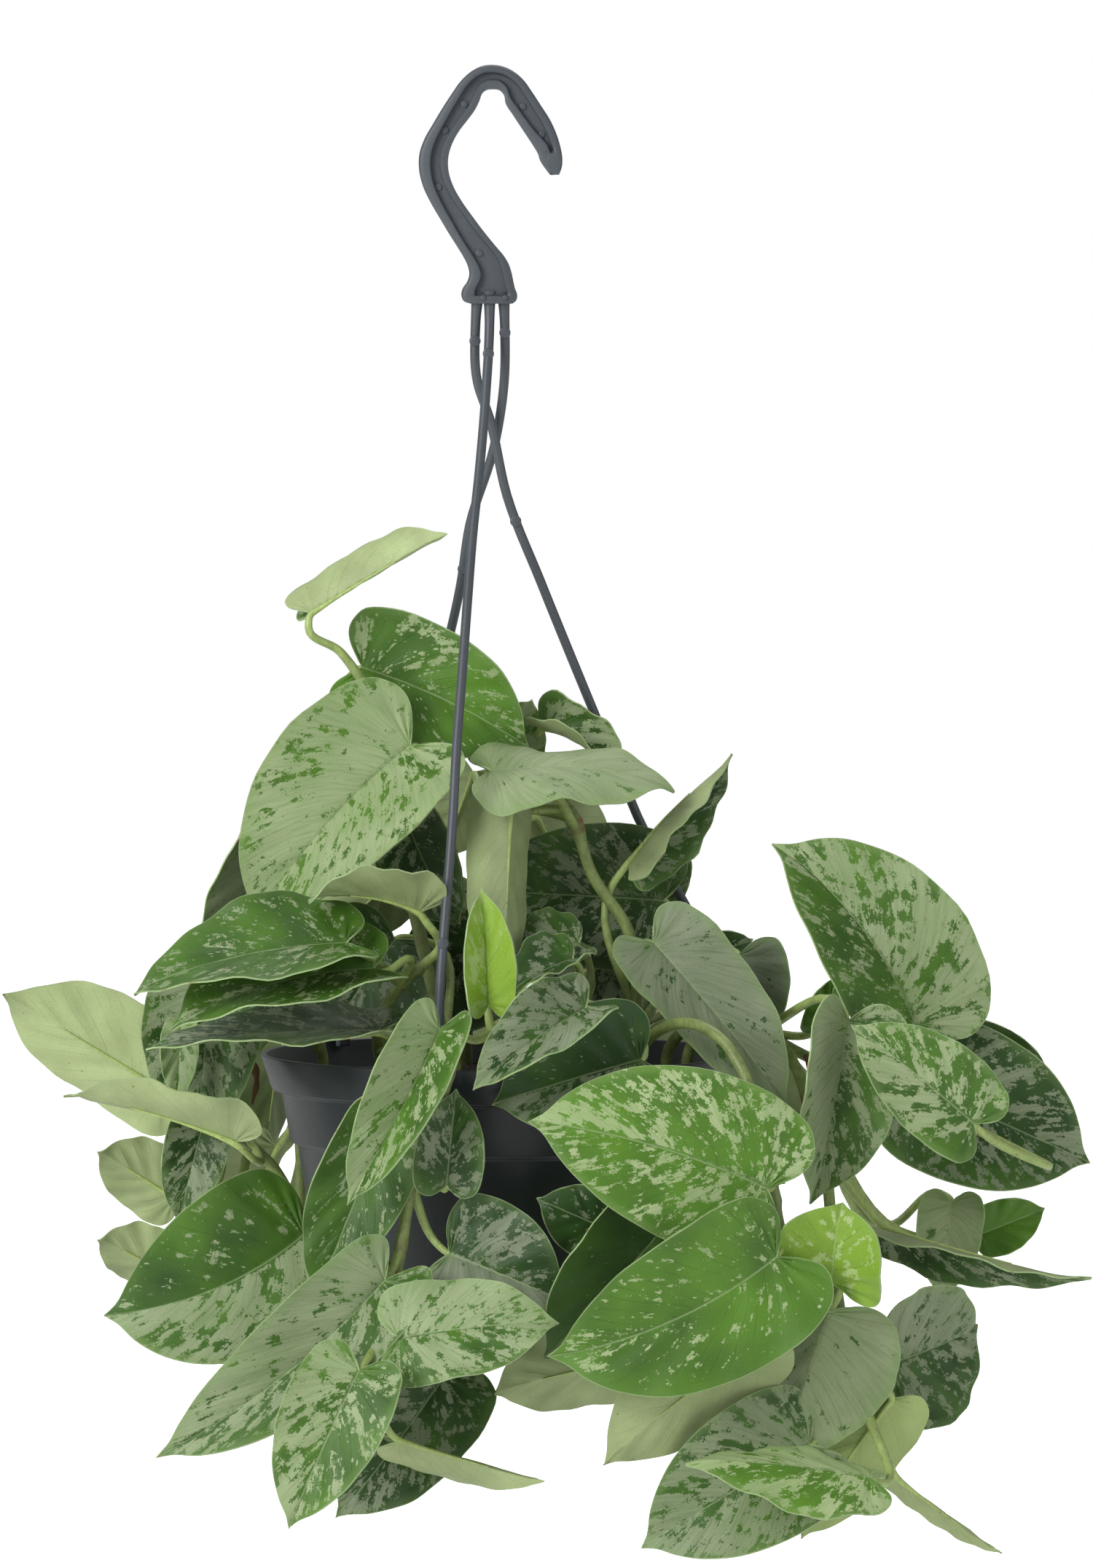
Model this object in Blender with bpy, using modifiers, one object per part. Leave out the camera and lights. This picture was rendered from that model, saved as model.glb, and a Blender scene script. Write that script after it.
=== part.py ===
"""Satin pothos trailing over the rim of a hanging nursery pot, with the pot's moulded clip-on hanger.

The origin is the inside of the hook's crown, where the hook rests on whatever holds it.
Sizes in the tables are millimetres. The script works in metres, with +Z up.
"""

import math
import random
from collections import namedtuple

import bmesh
import bpy
from mathutils import Matrix, Vector

MM = 0.001
OBJECT_NAME = "satin_pothos_hanging"
GAP = 0.3
FLAT_ANGLE = math.radians(0.6)

# Pot
POT_CENTRE_X = 2.5
RIM_RADIUS = 74.0
RIM_TOP = -297.0
POT_FLOOR = -371.0
POT_WALL = 1.8
POT_STEPS = 36
BAND_HEIGHT = 11.0
DRAIN_HOLE_RADIUS = 3.5
DRAIN_HOLE_RING = 30.0
DRAIN_HOLES = 4

# Soil
SOIL_TOP = -306.0
SOIL_CROWN = 3.0
HOLE_RADIUS = 2.4
HOLE_FLOOR = -316.0

# Hanger
HOOK_THICKNESS = 6.6
HOOK_BORDER = 1.9
HOOK_RECESS = 2.1
STRAND_RADIUS = 1.45
STRAND_ANGLES = {"front": -104.4, "right": 15.6, "left": 135.6}
CLIP_WIDTH = 5.0
CLIP_TOP = RIM_TOP + 3.0

# Plant
STEM_RADIUS = 1.6
STEM_FOOT = HOLE_FLOOR + 1.0
STEM_STEPS = 2
PETIOLE_RADIUS = 1.15
PETIOLE_STEPS = 1
PETIOLE_END = 0.3
BLADE_THICKNESS = 0.8

# The plant's places are drawn as they look from in front, from this far off and this much above level.
VIEW_CENTRE = Vector((16.9, 0.0, -214.0))
VIEW_DISTANCE = 2600.0
VIEW_RISE = math.radians(2.5)

# Half of a leaf's outline from the notch round the lobe to the tip: along, across, and the vein's foot.
OUTLINE = (
    (0.00, 0.00, 0.00),
    (-0.11, 0.42, 0.00),
    (-0.02, 0.88, 0.03),
    (0.26, 1.00, 0.17),
    (0.60, 0.83, 0.48),
    (1.00, 0.00, 1.00),
)

# joint is how far up the stem the petiole leaves it. roll turns the face from the viewer about the midrib.
# fold is each half's slope at the midrib, cup its further turn to the margin. droop arches the midrib towards
# the face, and bow arches it sideways. A fine leaf shows its cup, so each half has a crease between midrib
# and margin. via bends the petiole.
Leaf = namedtuple(
    "Leaf", "base tip width joint roll fold cup droop bow twist wave fine via",
    defaults=(0, 14, 10, 20, 0, 0, 1.5, False, None),
)
Vine = namedtuple("Vine", "name stem leaves")


def leaf(base, tip, width, joint, **bends):
    """A leaf from its junction with the petiole to its tip, width millimetres across."""
    return Leaf(Vector(base), Vector(tip), width, joint, **bends)


# Each place is x, depth, z, with depth less than nought towards the viewer.
VINES = (
    Vine("vine_top_left", ((-14, -20), (-19, -15, -275), (-27, -12, -240), (-35, -11, -208),
         (-40, -18, -182)), (
        leaf((-56, -22, -161), (-14, -28, -136), 32, 1.0, roll=-150, fold=40, cup=90, droop=6, wave=1,
             fine=True, via=(-47, -19, -173)),
        leaf((-40, -6, -178), (12, -9, -203), 44, 0.9, roll=-8, fold=16, cup=20, droop=22, bow=14,
             fine=True),
        leaf((-25, -25, -202), (-74, -35, -258), 58, 0.8, roll=22, fold=22, cup=8, droop=26, bow=-12,
             fine=True),
        leaf((-62, -8, -224), (-90, -12, -268), 36, 0.6, roll=-25, fold=20, droop=20),
        leaf((-26, -12, -226), (-10, -14, -258), 28, 0.55, roll=20, droop=30),
        leaf((-30, 9, -262), (-50, 5, -291), 42, 0.3, roll=12, droop=20),
    )),
    Vine("vine_top_centre", ((22, 6), (26, 9, -275), (28, 9, -245), (23, 9, -218)), (
        leaf((53, -2, -250), (-9, -8, -247), 46, 0.7, roll=10, fold=12, cup=-10, droop=18),
        leaf((16, 4, -196), (40, -1, -211), 24, 1.0, roll=-40, fold=30, cup=60, droop=46, fine=True),
        leaf((0, 7, -208), (13, 8, -188), 25, 0.95, roll=20, droop=20),
        leaf((50, 27, -252), (61, 27, -233), 14, 0.6, droop=20),
        leaf((-2, 24, -262), (-22, 22, -291), 42, 0.2, roll=8, droop=20),
        leaf((31, 24, -263), (46, 20, -292), 40, 0.25, roll=-8, droop=20),
    )),
    Vine("vine_umbrella", ((46, -24), (45, -22, -285), (42, -20, -259), (31, -20, -242), (25, -22, -222)), (
        leaf((0, -33, -210), (57, -29, -215), 46, 1.0, roll=-68, fold=8, cup=-35, droop=30, wave=3,
             fine=True),
        leaf((6, -37, -219), (4, -50, -273), 34, 0.95, roll=165, fold=34, cup=40, droop=10, fine=True),
        leaf((43, -18, -239), (75, -16, -206), 26, 0.45, roll=55, fold=48, cup=20, droop=-24, fine=True),
    )),
    Vine("vine_left", ((-34, -28), (-35, -38, -288), (-28, -44, -276), (-21, -48, -270)), (
        leaf((-22, -60, -253), (-57, -72, -249), 32, 1.0, roll=112, fold=14, cup=14, droop=34,
             via=(-16, -54, -264)),
        leaf((-45, -73, -263), (-111, -82, -278), 42, 0.8, roll=58, fold=10, cup=12, droop=26, wave=2.5,
             fine=True),
        leaf((-37, -68, -271), (-100, -79, -289), 44, 0.75, roll=54, fold=14, cup=18, droop=34, wave=3,
             fine=True, via=(-26, -58, -268)),
        leaf((-34, -60, -290), (-107, -70, -295), 34, 0.45, roll=74, fold=8, cup=8, droop=10, wave=2),
    )),
    Vine("vine_far_left", ((-52, -12), (-60, -16, -287), (-73, -21, -289), (-82, -26, -303),
         (-79, -31, -320), (-67, -46, -333), (-60, -54, -345)), (
        leaf((-100, -24, -309), (-151, -30, -278), 42, 0.42, roll=155, fold=10, cup=10, droop=24, bow=-14,
             wave=2, fine=True),
        leaf((-85, -38, -273), (-91, -41, -326), 40, 0.3, roll=15, droop=24, wave=2),
        leaf((-96, -50, -289), (-97, -53, -313), 13, 0.4, fold=20, droop=10),
        leaf((-79, -66, -324), (-132, -72, -309), 28, 0.7, roll=118, fold=12, cup=30, droop=12, wave=2),
        leaf((-89, -49, -318), (-97, -53, -350), 21, 0.6, droop=20),
        leaf((-98, -30, -342), (-122, -36, -327), 26, 0.68, roll=170, droop=20),
        leaf((-99, -40, -366), (-122, -48, -354), 24, 0.8, roll=160, droop=20),
        leaf((-58, -66, -353), (-120, -78, -378), 56, 1.0, roll=12, fold=12, cup=12, droop=24, bow=40),
    )),
    Vine("vine_front_left", ((-10, -50), (-10, -62, -288), (-11, -76, -292), (-14, -79, -306),
         (-22, -78, -325), (-28, -80, -356), (-34, -86, -386)), (
        leaf((-33, -77, -318), (-55, -80, -374), 32, 0.6, roll=-20, fold=16, cup=16, droop=8, twist=50,
             wave=2),
        leaf((-14, -84, -338), (-11, -82, -308), 23, 0.66, fold=14, cup=16, droop=16),
        leaf((-13, -81, -359), (23, -86, -374), 42, 0.8, roll=-10, fold=8, cup=8, droop=24),
        leaf((-33, -90, -367), (-104, -100, -422), 35, 0.88, roll=12, fold=18, cup=12, droop=26, bow=26,
             wave=2, fine=True),
        leaf((-29, -103, -385), (21, -106, -380), 33, 0.97, roll=-24, fold=12, cup=-20, droop=26, wave=3,
             fine=True),
        leaf((-41, -113, -395), (-63, -121, -444), 34, 1.0, roll=12, fold=14, cup=10, droop=16),
        leaf((-14, -72, -396), (-48, -80, -441), 38, 0.92, roll=-12, droop=20),
        leaf((-29, -95, -417), (16, -94, -430), 22, 1.0, roll=150, fold=46, cup=60, droop=4, wave=0),
    )),
    Vine("vine_front_centre", ((8, -44), (6, -56, -290), (3, -68, -288), (0, -78, -291)), (
        leaf((-1, -84, -282), (-3, -80, -246), 22, 1.0, roll=8, fold=38, cup=14, droop=12, fine=True),
        leaf((-16, -87, -290), (-45, -96, -344), 31, 1.0, roll=12, fold=34, cup=22, droop=20, bow=12,
             wave=2, fine=True, via=(-6, -84, -293)),
        leaf((29, -82, -283), (-6, -100, -308), 28, 0.6, roll=26, fold=24, cup=30, droop=30, wave=3,
             fine=True),
        leaf((46, -70, -299), (0, -77, -313), 42, 0.5, roll=12, droop=20, via=(30, -60, -282)),
        leaf((27, -30, -263), (4, -36, -269), 26, 0.35, roll=50, droop=20),
        leaf((25, -44, -268), (5, -52, -279), 22, 0.4, roll=50, fold=20, cup=30, droop=30),
    )),
    Vine("vine_front_right", ((44, -42), (57, -56, -288), (70, -69, -292), (81, -79, -311), (87, -86, -340),
         (90, -92, -362)), (
        leaf((85, -92, -339), (11, -96, -318), 54, 0.82, roll=14, fold=14, cup=-12, droop=20, bow=-16,
             wave=1.5),
        leaf((88, -101, -360), (17, -109, -391), 50, 0.95, roll=-2, fold=10, cup=10, droop=18, bow=28),
        leaf((52, -80, -352), (16, -86, -392), 44, 0.8, roll=-16, droop=16),
        leaf((42, -75, -392), (0, -78, -402), 34, 0.95, roll=160, droop=20),
        leaf((82, -92, -386), (34, -96, -424), 38, 1.0, roll=165, droop=16),
        leaf((37, -74, -352), (14, -78, -342), 24, 0.75, droop=10),
        leaf((105, -91, -368), (108, -94, -343), 42, 1.0, roll=-14, fold=14, cup=36, droop=40, wave=2,
             fine=True),
    )),
    Vine("vine_mid_right", ((38, -4), (42, -7, -288), (48, -13, -271)), (
        leaf((50, -31, -263), (92, -46, -314), 36, 1.0, roll=-26, fold=14, cup=8, droop=14, fine=True),
        leaf((76, 0, -267), (81, -6, -297), 34, 0.5, roll=10, droop=24),
        leaf((62, 6, -268), (81, 8, -262), 14, 0.6, droop=10),
    )),
    Vine("vine_upper_right", ((54, -4), (66, -9, -287), (79, -13, -289), (97, -17, -298), (128, -20, -310)),
         (
        leaf((131, -24, -289), (87, -34, -232), 56, 0.95, roll=24, fold=24, cup=8, droop=28, bow=-24,
             fine=True),
        leaf((149, -66, -319), (111, -69, -288), 32, 1.0, roll=14, fold=10, cup=8, droop=20,
             via=(172, -42, -332)),
        leaf((110, -53, -287), (99, -57, -344), 40, 0.7, roll=-24, fold=28, cup=10, droop=10, fine=True),
        leaf((131, -8, -307), (185, -12, -331), 52, 0.9, roll=-8, droop=14),
        leaf((150, 4, -292), (172, 0, -302), 13, 0.95, droop=10),
        leaf((101, -22, -290), (107, -26, -273), 13, 0.7, droop=20),
    )),
    Vine("vine_low_right", ((60, -20), (70, -27, -287), (84, -31, -290), (100, -31, -318), (105, -48, -350),
         (108, -68, -382), (116, -76, -408)), (
        leaf((121, -36, -352), (185, -40, -368), 20, 0.66, roll=56, fold=24, cup=30, droop=6),
        leaf((142, 2, -343), (139, -4, -373), 22, 0.62, droop=10, via=(124, 0, -350)),
        leaf((151, 9, -353), (171, 11, -345), 18, 0.6, droop=10, via=(126, -4, -352)),
        leaf((104, -83, -377), (90, -79, -425), 52, 0.8, roll=30, fold=-36, cup=-6, droop=16, fine=True),
        leaf((123, -73, -404), (95, -79, -447), 36, 0.98, roll=165, droop=20),
        leaf((117, -106, -428), (60, -114, -423), 34, 1.0, roll=63, fold=-14, cup=-10, droop=14, wave=2,
             fine=True),
        leaf((98, -82, -418), (46, -92, -450), 46, 0.96, roll=10, droop=18),
        leaf((123, -60, -393), (151, -34, -381), 46, 0.85, roll=14, fold=14, droop=20),
        leaf((125, -74, -429), (157, -72, -452), 10, 1.0, roll=150, fold=40, cup=40, droop=6, wave=0),
    )),
)

# Vines behind the pot: the direction each one trails in, seen from above.
BACK_ANGLES = (38, 64, 90, 116, 142)
BACK_LEVELS = (-296, -330, -366)
BACK_SEED = 7


def clear_scene():
    for obj in list(bpy.data.objects):
        bpy.data.objects.remove(obj)


def new_collection(name):
    collection = bpy.data.collections.new(name)
    bpy.context.scene.collection.children.link(collection)
    return collection


def finish_material(name, colour, roughness):
    material = bpy.data.materials.new(name)
    material.use_nodes = True
    shader = material.node_tree.nodes["Principled BSDF"]
    shader.inputs["Base Color"].default_value = (*colour, 1.0)
    shader.inputs["Roughness"].default_value = roughness
    shader.inputs["Metallic"].default_value = 0.0
    return material


def add_mesh(name, mesh, collection, material=None):
    obj = bpy.data.objects.new(name, mesh)
    collection.objects.link(obj)
    if material:
        mesh.materials.clear()
        mesh.materials.append(material)
    return obj


def evaluated_mesh(obj):
    """The object's mesh with its modifiers applied, its caps welded, in world space."""
    graph = bpy.context.evaluated_depsgraph_get()
    mesh = bpy.data.meshes.new_from_object(obj.evaluated_get(graph), depsgraph=graph)
    mesh.transform(obj.matrix_world)
    shape = bmesh.new()
    shape.from_mesh(mesh)
    bmesh.ops.remove_doubles(shape, verts=shape.verts, dist=0.01 * MM)
    bmesh.ops.recalc_face_normals(shape, faces=shape.faces)
    shape.to_mesh(mesh)
    shape.free()
    return mesh


def replace_by_mesh(obj, collection):
    """The object made a plain mesh, with the curve or modified object removed."""
    name = obj.name
    mesh = evaluated_mesh(obj)
    bpy.data.objects.remove(obj)
    return add_mesh(name, mesh, collection)


def smooth_route(points, steps):
    """Points along a smooth curve through the given ones, with this many steps between each two."""
    points = [Vector(point) for point in points]
    last = len(points) - 1
    route = []
    for index in range(last):
        start, end = points[index], points[index + 1]
        before = points[index - 1] if index else start - (end - start)
        after = points[index + 2] if index + 2 <= last else end + (end - start)
        span = (end - start).length
        leave = tangent(before, start, end) * span
        arrive = tangent(start, end, after) * span
        for step in range(steps):
            share = step / steps
            route.append(hermite(start, end, leave, arrive, share))
    route.append(points[last])
    return route


def tangent(before, here, after):
    """The direction of a smooth curve at the middle one of three points."""
    first, second = here - before, after - here
    mixed = first.normalized() * second.length + second.normalized() * first.length
    return mixed.normalized()


def hermite(start, end, leave, arrive, share):
    square, cube = share ** 2, share ** 3
    return (
        (2 * cube - 3 * square + 1) * start
        + (cube - 2 * square + share) * leave
        + (3 * square - 2 * cube) * end
        + (cube - square) * arrive
    )


def tube(name, points, radius, collection, sides=6, smooth=2, end=1.0):
    """A rod along a smooth curve through the points, in millimetres. end is its last point's share of the radius."""
    route = smooth_route(points, smooth)
    curve = bpy.data.curves.new(name, "CURVE")
    curve.dimensions = "3D"
    curve.bevel_depth = radius * MM
    curve.bevel_resolution = sides // 2 - 2
    curve.use_fill_caps = True
    spline = curve.splines.new("POLY")
    spline.points.add(len(route) - 1)
    for knot, point in zip(spline.points, route):
        knot.co = (*(point * MM), 1)
    spline.points[-1].radius = end
    obj = bpy.data.objects.new(name, curve)
    collection.objects.link(obj)
    return replace_by_mesh(obj, collection)


def merge_flat_faces(mesh):
    """Removes the slivers that a union leaves in flat faces and splits what remains into triangles."""
    shape = bmesh.new()
    shape.from_mesh(mesh)
    bmesh.ops.dissolve_limit(shape, angle_limit=FLAT_ANGLE, verts=shape.verts, edges=shape.edges)
    bmesh.ops.triangulate(shape, faces=shape.faces)
    shape.to_mesh(mesh)
    shape.free()


def join_all(target, parts, solver="EXACT"):
    """Unites the target with every object of the parts collection, which is then emptied."""
    boolean = target.modifiers.new("join", "BOOLEAN")
    boolean.operation = "UNION"
    boolean.operand_type = "COLLECTION"
    boolean.collection = parts
    boolean.solver = solver
    graph = bpy.context.evaluated_depsgraph_get()
    mesh = bpy.data.meshes.new_from_object(target.evaluated_get(graph), depsgraph=graph)
    merge_flat_faces(mesh)
    target.modifiers.clear()
    target.data = mesh
    for obj in list(parts.objects):
        bpy.data.objects.remove(obj)
    bpy.data.collections.remove(parts)


def turned(name, profile, collection, material, steps=POT_STEPS):
    """A solid turned about the pot's axis from a closed profile of radius and height in millimetres."""
    mesh = bpy.data.meshes.new(name)
    points = [(radius * MM, 0.0, height * MM) for radius, height in profile]
    edges = [(index, index + 1) for index in range(len(points) - 1)]
    if profile[0][0] > 0:
        edges.append((len(points) - 1, 0))
    mesh.from_pydata(points, edges, [])
    obj = add_mesh(name, mesh, collection)
    screw = obj.modifiers.new("turn", "SCREW")
    screw.steps = steps
    screw.render_steps = steps
    screw.use_merge_vertices = True
    screw.merge_threshold = 0.00005
    obj.location.x = POT_CENTRE_X * MM
    bpy.context.view_layer.update()
    obj = replace_by_mesh(obj, collection)
    obj.data.materials.append(material)
    return obj


def pot_outside():
    """The pot's outer wall from the rim's edge down to the foot, as radius and height."""
    band_foot = RIM_TOP - BAND_HEIGHT
    return (
        (RIM_RADIUS, RIM_TOP),
        (70.5, band_foot),
        (67.5, band_foot - 0.6),
        (64.8, -324.0),
        (62.6, -325.2),
        (56.2, -363.0),
        (53.5, -364.5),
        (51.0, POT_FLOOR),
    )


def pot_inside():
    """The pot's inner wall from the floor up to the rim."""
    floor = POT_FLOOR + POT_WALL
    return (
        (50.0, floor),
        (60.6, -325.6),
        (65.6, -309.0),
        (68.6, RIM_TOP - BAND_HEIGHT + 1.2),
        (RIM_RADIUS - POT_WALL, RIM_TOP),
    )


def make_pot(collection, material):
    profile = ((0.0, POT_FLOOR),) + tuple(reversed(pot_outside())) + tuple(reversed(pot_inside()))
    profile += ((0.0, POT_FLOOR + POT_WALL),)
    pot = turned("pot", tuple(reversed(profile)), collection, material)
    drains = bpy.data.collections.new("pot_drains")
    for index in range(DRAIN_HOLES):
        angle = 2 * math.pi * (index + 0.5) / DRAIN_HOLES
        x = POT_CENTRE_X + DRAIN_HOLE_RING * math.cos(angle)
        y = DRAIN_HOLE_RING * math.sin(angle)
        upright("drain", x, y, POT_FLOOR - 5, POT_FLOOR + POT_WALL + 5, DRAIN_HOLE_RADIUS, drains, 10)
    cut_all(pot, drains)
    return pot


def upright(name, x, y, low, high, radius, collection, sides):
    """An upright cylinder, as a mesh."""
    mesh = bpy.data.meshes.new(name)
    shape = bmesh.new()
    bmesh.ops.create_cone(
        shape, cap_ends=True, segments=sides, radius1=radius * MM, radius2=radius * MM, depth=(high - low) * MM,
        matrix=Matrix.Translation(Vector((x, y, (low + high) / 2)) * MM),
    )
    shape.to_mesh(mesh)
    shape.free()
    return add_mesh(name, mesh, collection)


def cut_all(target, cutters):
    """Takes every cutter from the target."""
    bpy.context.scene.collection.children.link(cutters)
    boolean = target.modifiers.new("cut", "BOOLEAN")
    boolean.operation = "DIFFERENCE"
    boolean.operand_type = "COLLECTION"
    boolean.collection = cutters
    graph = bpy.context.evaluated_depsgraph_get()
    mesh = bpy.data.meshes.new_from_object(target.evaluated_get(graph), depsgraph=graph)
    target.modifiers.clear()
    target.data = mesh
    for obj in list(cutters.objects):
        bpy.data.objects.remove(obj)
    bpy.data.collections.remove(cutters)


def make_soil(collection, material, feet):
    """The potting soil, which fills the pot to just under the rim, with a plain hole for each stem."""
    wall = [(radius - GAP, height) for radius, height in pot_inside() if height < SOIL_TOP]
    wall[0] = (wall[0][0], POT_FLOOR + POT_WALL + GAP)
    edge = (65.9 - GAP, SOIL_TOP)
    crown = ((44.0, SOIL_TOP + 0.7 * SOIL_CROWN), (0.0, SOIL_TOP + SOIL_CROWN))
    outside = [(0.0, POT_FLOOR + POT_WALL + GAP)] + wall + [edge] + list(crown)
    soil = turned("soil", tuple(reversed(outside)), collection, material, 28)
    holes = bpy.data.collections.new("stem_holes")
    for x, y in feet:
        upright("hole", x, y, HOLE_FLOOR, SOIL_TOP + 8, HOLE_RADIUS, holes, 6)
    cut_all(soil, holes)
    return soil


# The hook's edge, from the crown round the back, under the foot and up the inside to the tip.
HOOK_EDGE = (
    (0, 7.4), (-7.4, 4.3), (-12, -1), (-16, -6.5), (-19.5, -13.5), (-22.1, -20), (-22.3, -25), (-20.3, -31.5),
    (-16, -39.6), (-10.8, -48.2), (-7.2, -54.5), (-6.8, -58), (-9.2, -61.5), (-9.0, -64.5), (-6.3, -65.9),
    (6.3, -65.9), (7.9, -64), (6.9, -60), (4.7, -52.7), (2.3, -49.3), (-4.5, -40.7), (-10.8, -31.5),
    (-13.3, -25.2), (-13.3, -20.6), (-10.8, -14.2), (-5.6, -7.4), (-3.6, -4.1), (-2.9, -1.1), (-1.6, -0.2),
    (1.6, 0), (3.4, -0.8), (4.3, -4.7), (9.3, -12), (14.4, -19.4), (14.6, -21.6), (17.8, -26.1), (19.6, -26.8),
    (21.0, -25.6), (21.8, -22.3), (21.3, -17.5), (17.8, -9.2), (13.8, -3), (9.9, 2.9), (6, 6.4),
)


def make_hook(collection):
    """The hook: its outline as a slab, with a shallow recess inset in both faces."""
    mesh = bpy.data.meshes.new("hook")
    shape = bmesh.new()
    half = HOOK_THICKNESS / 2
    corners = [shape.verts.new(Vector((x, -half, z)) * MM) for x, z in HOOK_EDGE]
    front = shape.faces.new(corners)
    made = bmesh.ops.extrude_face_region(shape, geom=[front])["geom"]
    back_corners = [item for item in made if isinstance(item, bmesh.types.BMVert)]
    bmesh.ops.translate(shape, verts=back_corners, vec=Vector((0, 2 * half * MM, 0)))
    bmesh.ops.recalc_face_normals(shape, faces=shape.faces)
    for outward in (-1, 1):
        flat = [face for face in shape.faces if face.normal.y * outward > 0.9 and len(face.verts) > 4]
        bmesh.ops.inset_region(shape, faces=flat, thickness=HOOK_BORDER * MM, use_even_offset=True)
        floor = [face for face in shape.faces if face.normal.y * outward > 0.9 and len(face.verts) > 4]
        sunk = bmesh.ops.extrude_face_region(shape, geom=floor)["geom"]
        bmesh.ops.delete(shape, geom=floor, context="FACES_ONLY")
        verts = [item for item in sunk if isinstance(item, bmesh.types.BMVert)]
        bmesh.ops.translate(shape, verts=verts, vec=Vector((0, -outward * HOOK_RECESS * MM, 0)))
    bmesh.ops.recalc_face_normals(shape, faces=shape.faces)
    bmesh.ops.triangulate(shape, faces=shape.faces)
    shape.to_mesh(mesh)
    shape.free()
    return add_mesh("hanger", mesh, collection)


def rim_point(angle, radius, height):
    angle = math.radians(angle)
    return Vector((POT_CENTRE_X + radius * math.cos(angle), radius * math.sin(angle), height))


# Each strand's way down from the hook's foot to its clip, as x and z seen from in front and its depth.
STRANDS = {
    "front": ((-0.7, 0, -62), (-0.7, -1, -72), (-1.8, -8, -93), (-3.8, -17, -117), (-5.9, -25, -137),
              (-7.4, -33, -156), (-9, -42, -178), (-10.8, -51, -202), (-12, -58, -224)),
    "right": ((-4.3, 0.5, -62), (-5, 1, -72), (-4.4, 2.5, -90), (-0.7, 5, -101), (4.7, 7, -125), (15.3, 9.5, -152),
              (30.8, 12.5, -190), (45, 15.5, -224)),
    "left": ((3.6, 0.5, -62), (4, 1.5, -72), (3.8, 7, -90), (0.7, 12, -110), (-6.8, 19, -134), (-9.7, 25, -153),
             (-14, 30, -172), (-24.5, 36, -206)),
}


def make_clip(name, angle, collection):
    """The inverted U at a strand's foot, which straddles the rim."""
    for radius, width, low in ((69.6, 1.8, RIM_TOP - 1.8), (72.2, 7.2, RIM_TOP + 0.6), (75.6, 1.8, RIM_TOP - 6)):
        size = Matrix.Diagonal((width * MM, CLIP_WIDTH * MM, (CLIP_TOP - low) * MM, 1))
        middle = Matrix.Translation(Vector((radius, 0, (CLIP_TOP + low) / 2)) * MM)
        turn = Matrix.Translation((POT_CENTRE_X * MM, 0, 0)) @ Matrix.Rotation(math.radians(angle), 4, "Z")
        piece = bmesh.new()
        bmesh.ops.create_cube(piece, size=1, matrix=turn @ middle @ size)
        mesh = bpy.data.meshes.new(name)
        piece.to_mesh(mesh)
        piece.free()
        add_mesh(name, mesh, collection)


def make_hanger(collection, material):
    """Hook, three strands and rim clips, one flexible moulding."""
    hanger = make_hook(collection)
    pieces = new_collection("hanger_pieces")
    for side, route in STRANDS.items():
        points = [seen(place) for place in route]
        points.append(rim_point(STRAND_ANGLES[side], RIM_RADIUS - 1.6, RIM_TOP + 9))
        points.append(rim_point(STRAND_ANGLES[side], RIM_RADIUS - 1.8, RIM_TOP + 1.6))
        tube("strand", points, STRAND_RADIUS, pieces, smooth=1)
        make_clip("clip", STRAND_ANGLES[side], pieces)
    join_all(hanger, pieces)
    hanger.data.materials.clear()
    hanger.data.materials.append(material)
    return hanger


def seen(place):
    """The point that looks to be at x and z from in front, and lies at this depth."""
    x, depth, z = place
    eye = VIEW_CENTRE + VIEW_DISTANCE * Vector((0, -math.cos(VIEW_RISE), math.sin(VIEW_RISE)))
    up = Vector((0, math.sin(VIEW_RISE), math.cos(VIEW_RISE)))
    drawn = VIEW_CENTRE + Vector((x - VIEW_CENTRE.x, 0, 0)) + (z - VIEW_CENTRE.z) * up
    reach = (depth - eye.y) / (drawn.y - eye.y)
    return eye + reach * (drawn - eye)


# A leaf's own axes: along its midrib, across its blade, and out of its face.
FORWARD = Vector((1, 0, 0))
SIDEWAYS = Vector((0, 1, 0))
FACING = Vector((0, 0, 1))


def leaf_frame(one):
    """The leaf's length along the midrib, and the matrix from its own axes to the plant's."""
    base = seen(one.base)
    tip = seen(one.tip)
    chord = tip - base
    arch = math.radians(math.hypot(one.droop, one.bow)) / 2
    stretch = arch / math.sin(arch) if arch > 0.005 else 1.0
    forward = chord.normalized()
    facing = Vector((0, -1, 0))
    facing = (facing - facing.dot(forward) * forward).normalized()
    facing = Matrix.Rotation(math.radians(one.roll), 3, forward) @ facing
    sideways = facing.cross(forward)
    turn = Matrix((forward, sideways, facing)).transposed().to_4x4()
    return chord.length * stretch, Matrix.Translation(base) @ turn


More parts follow.
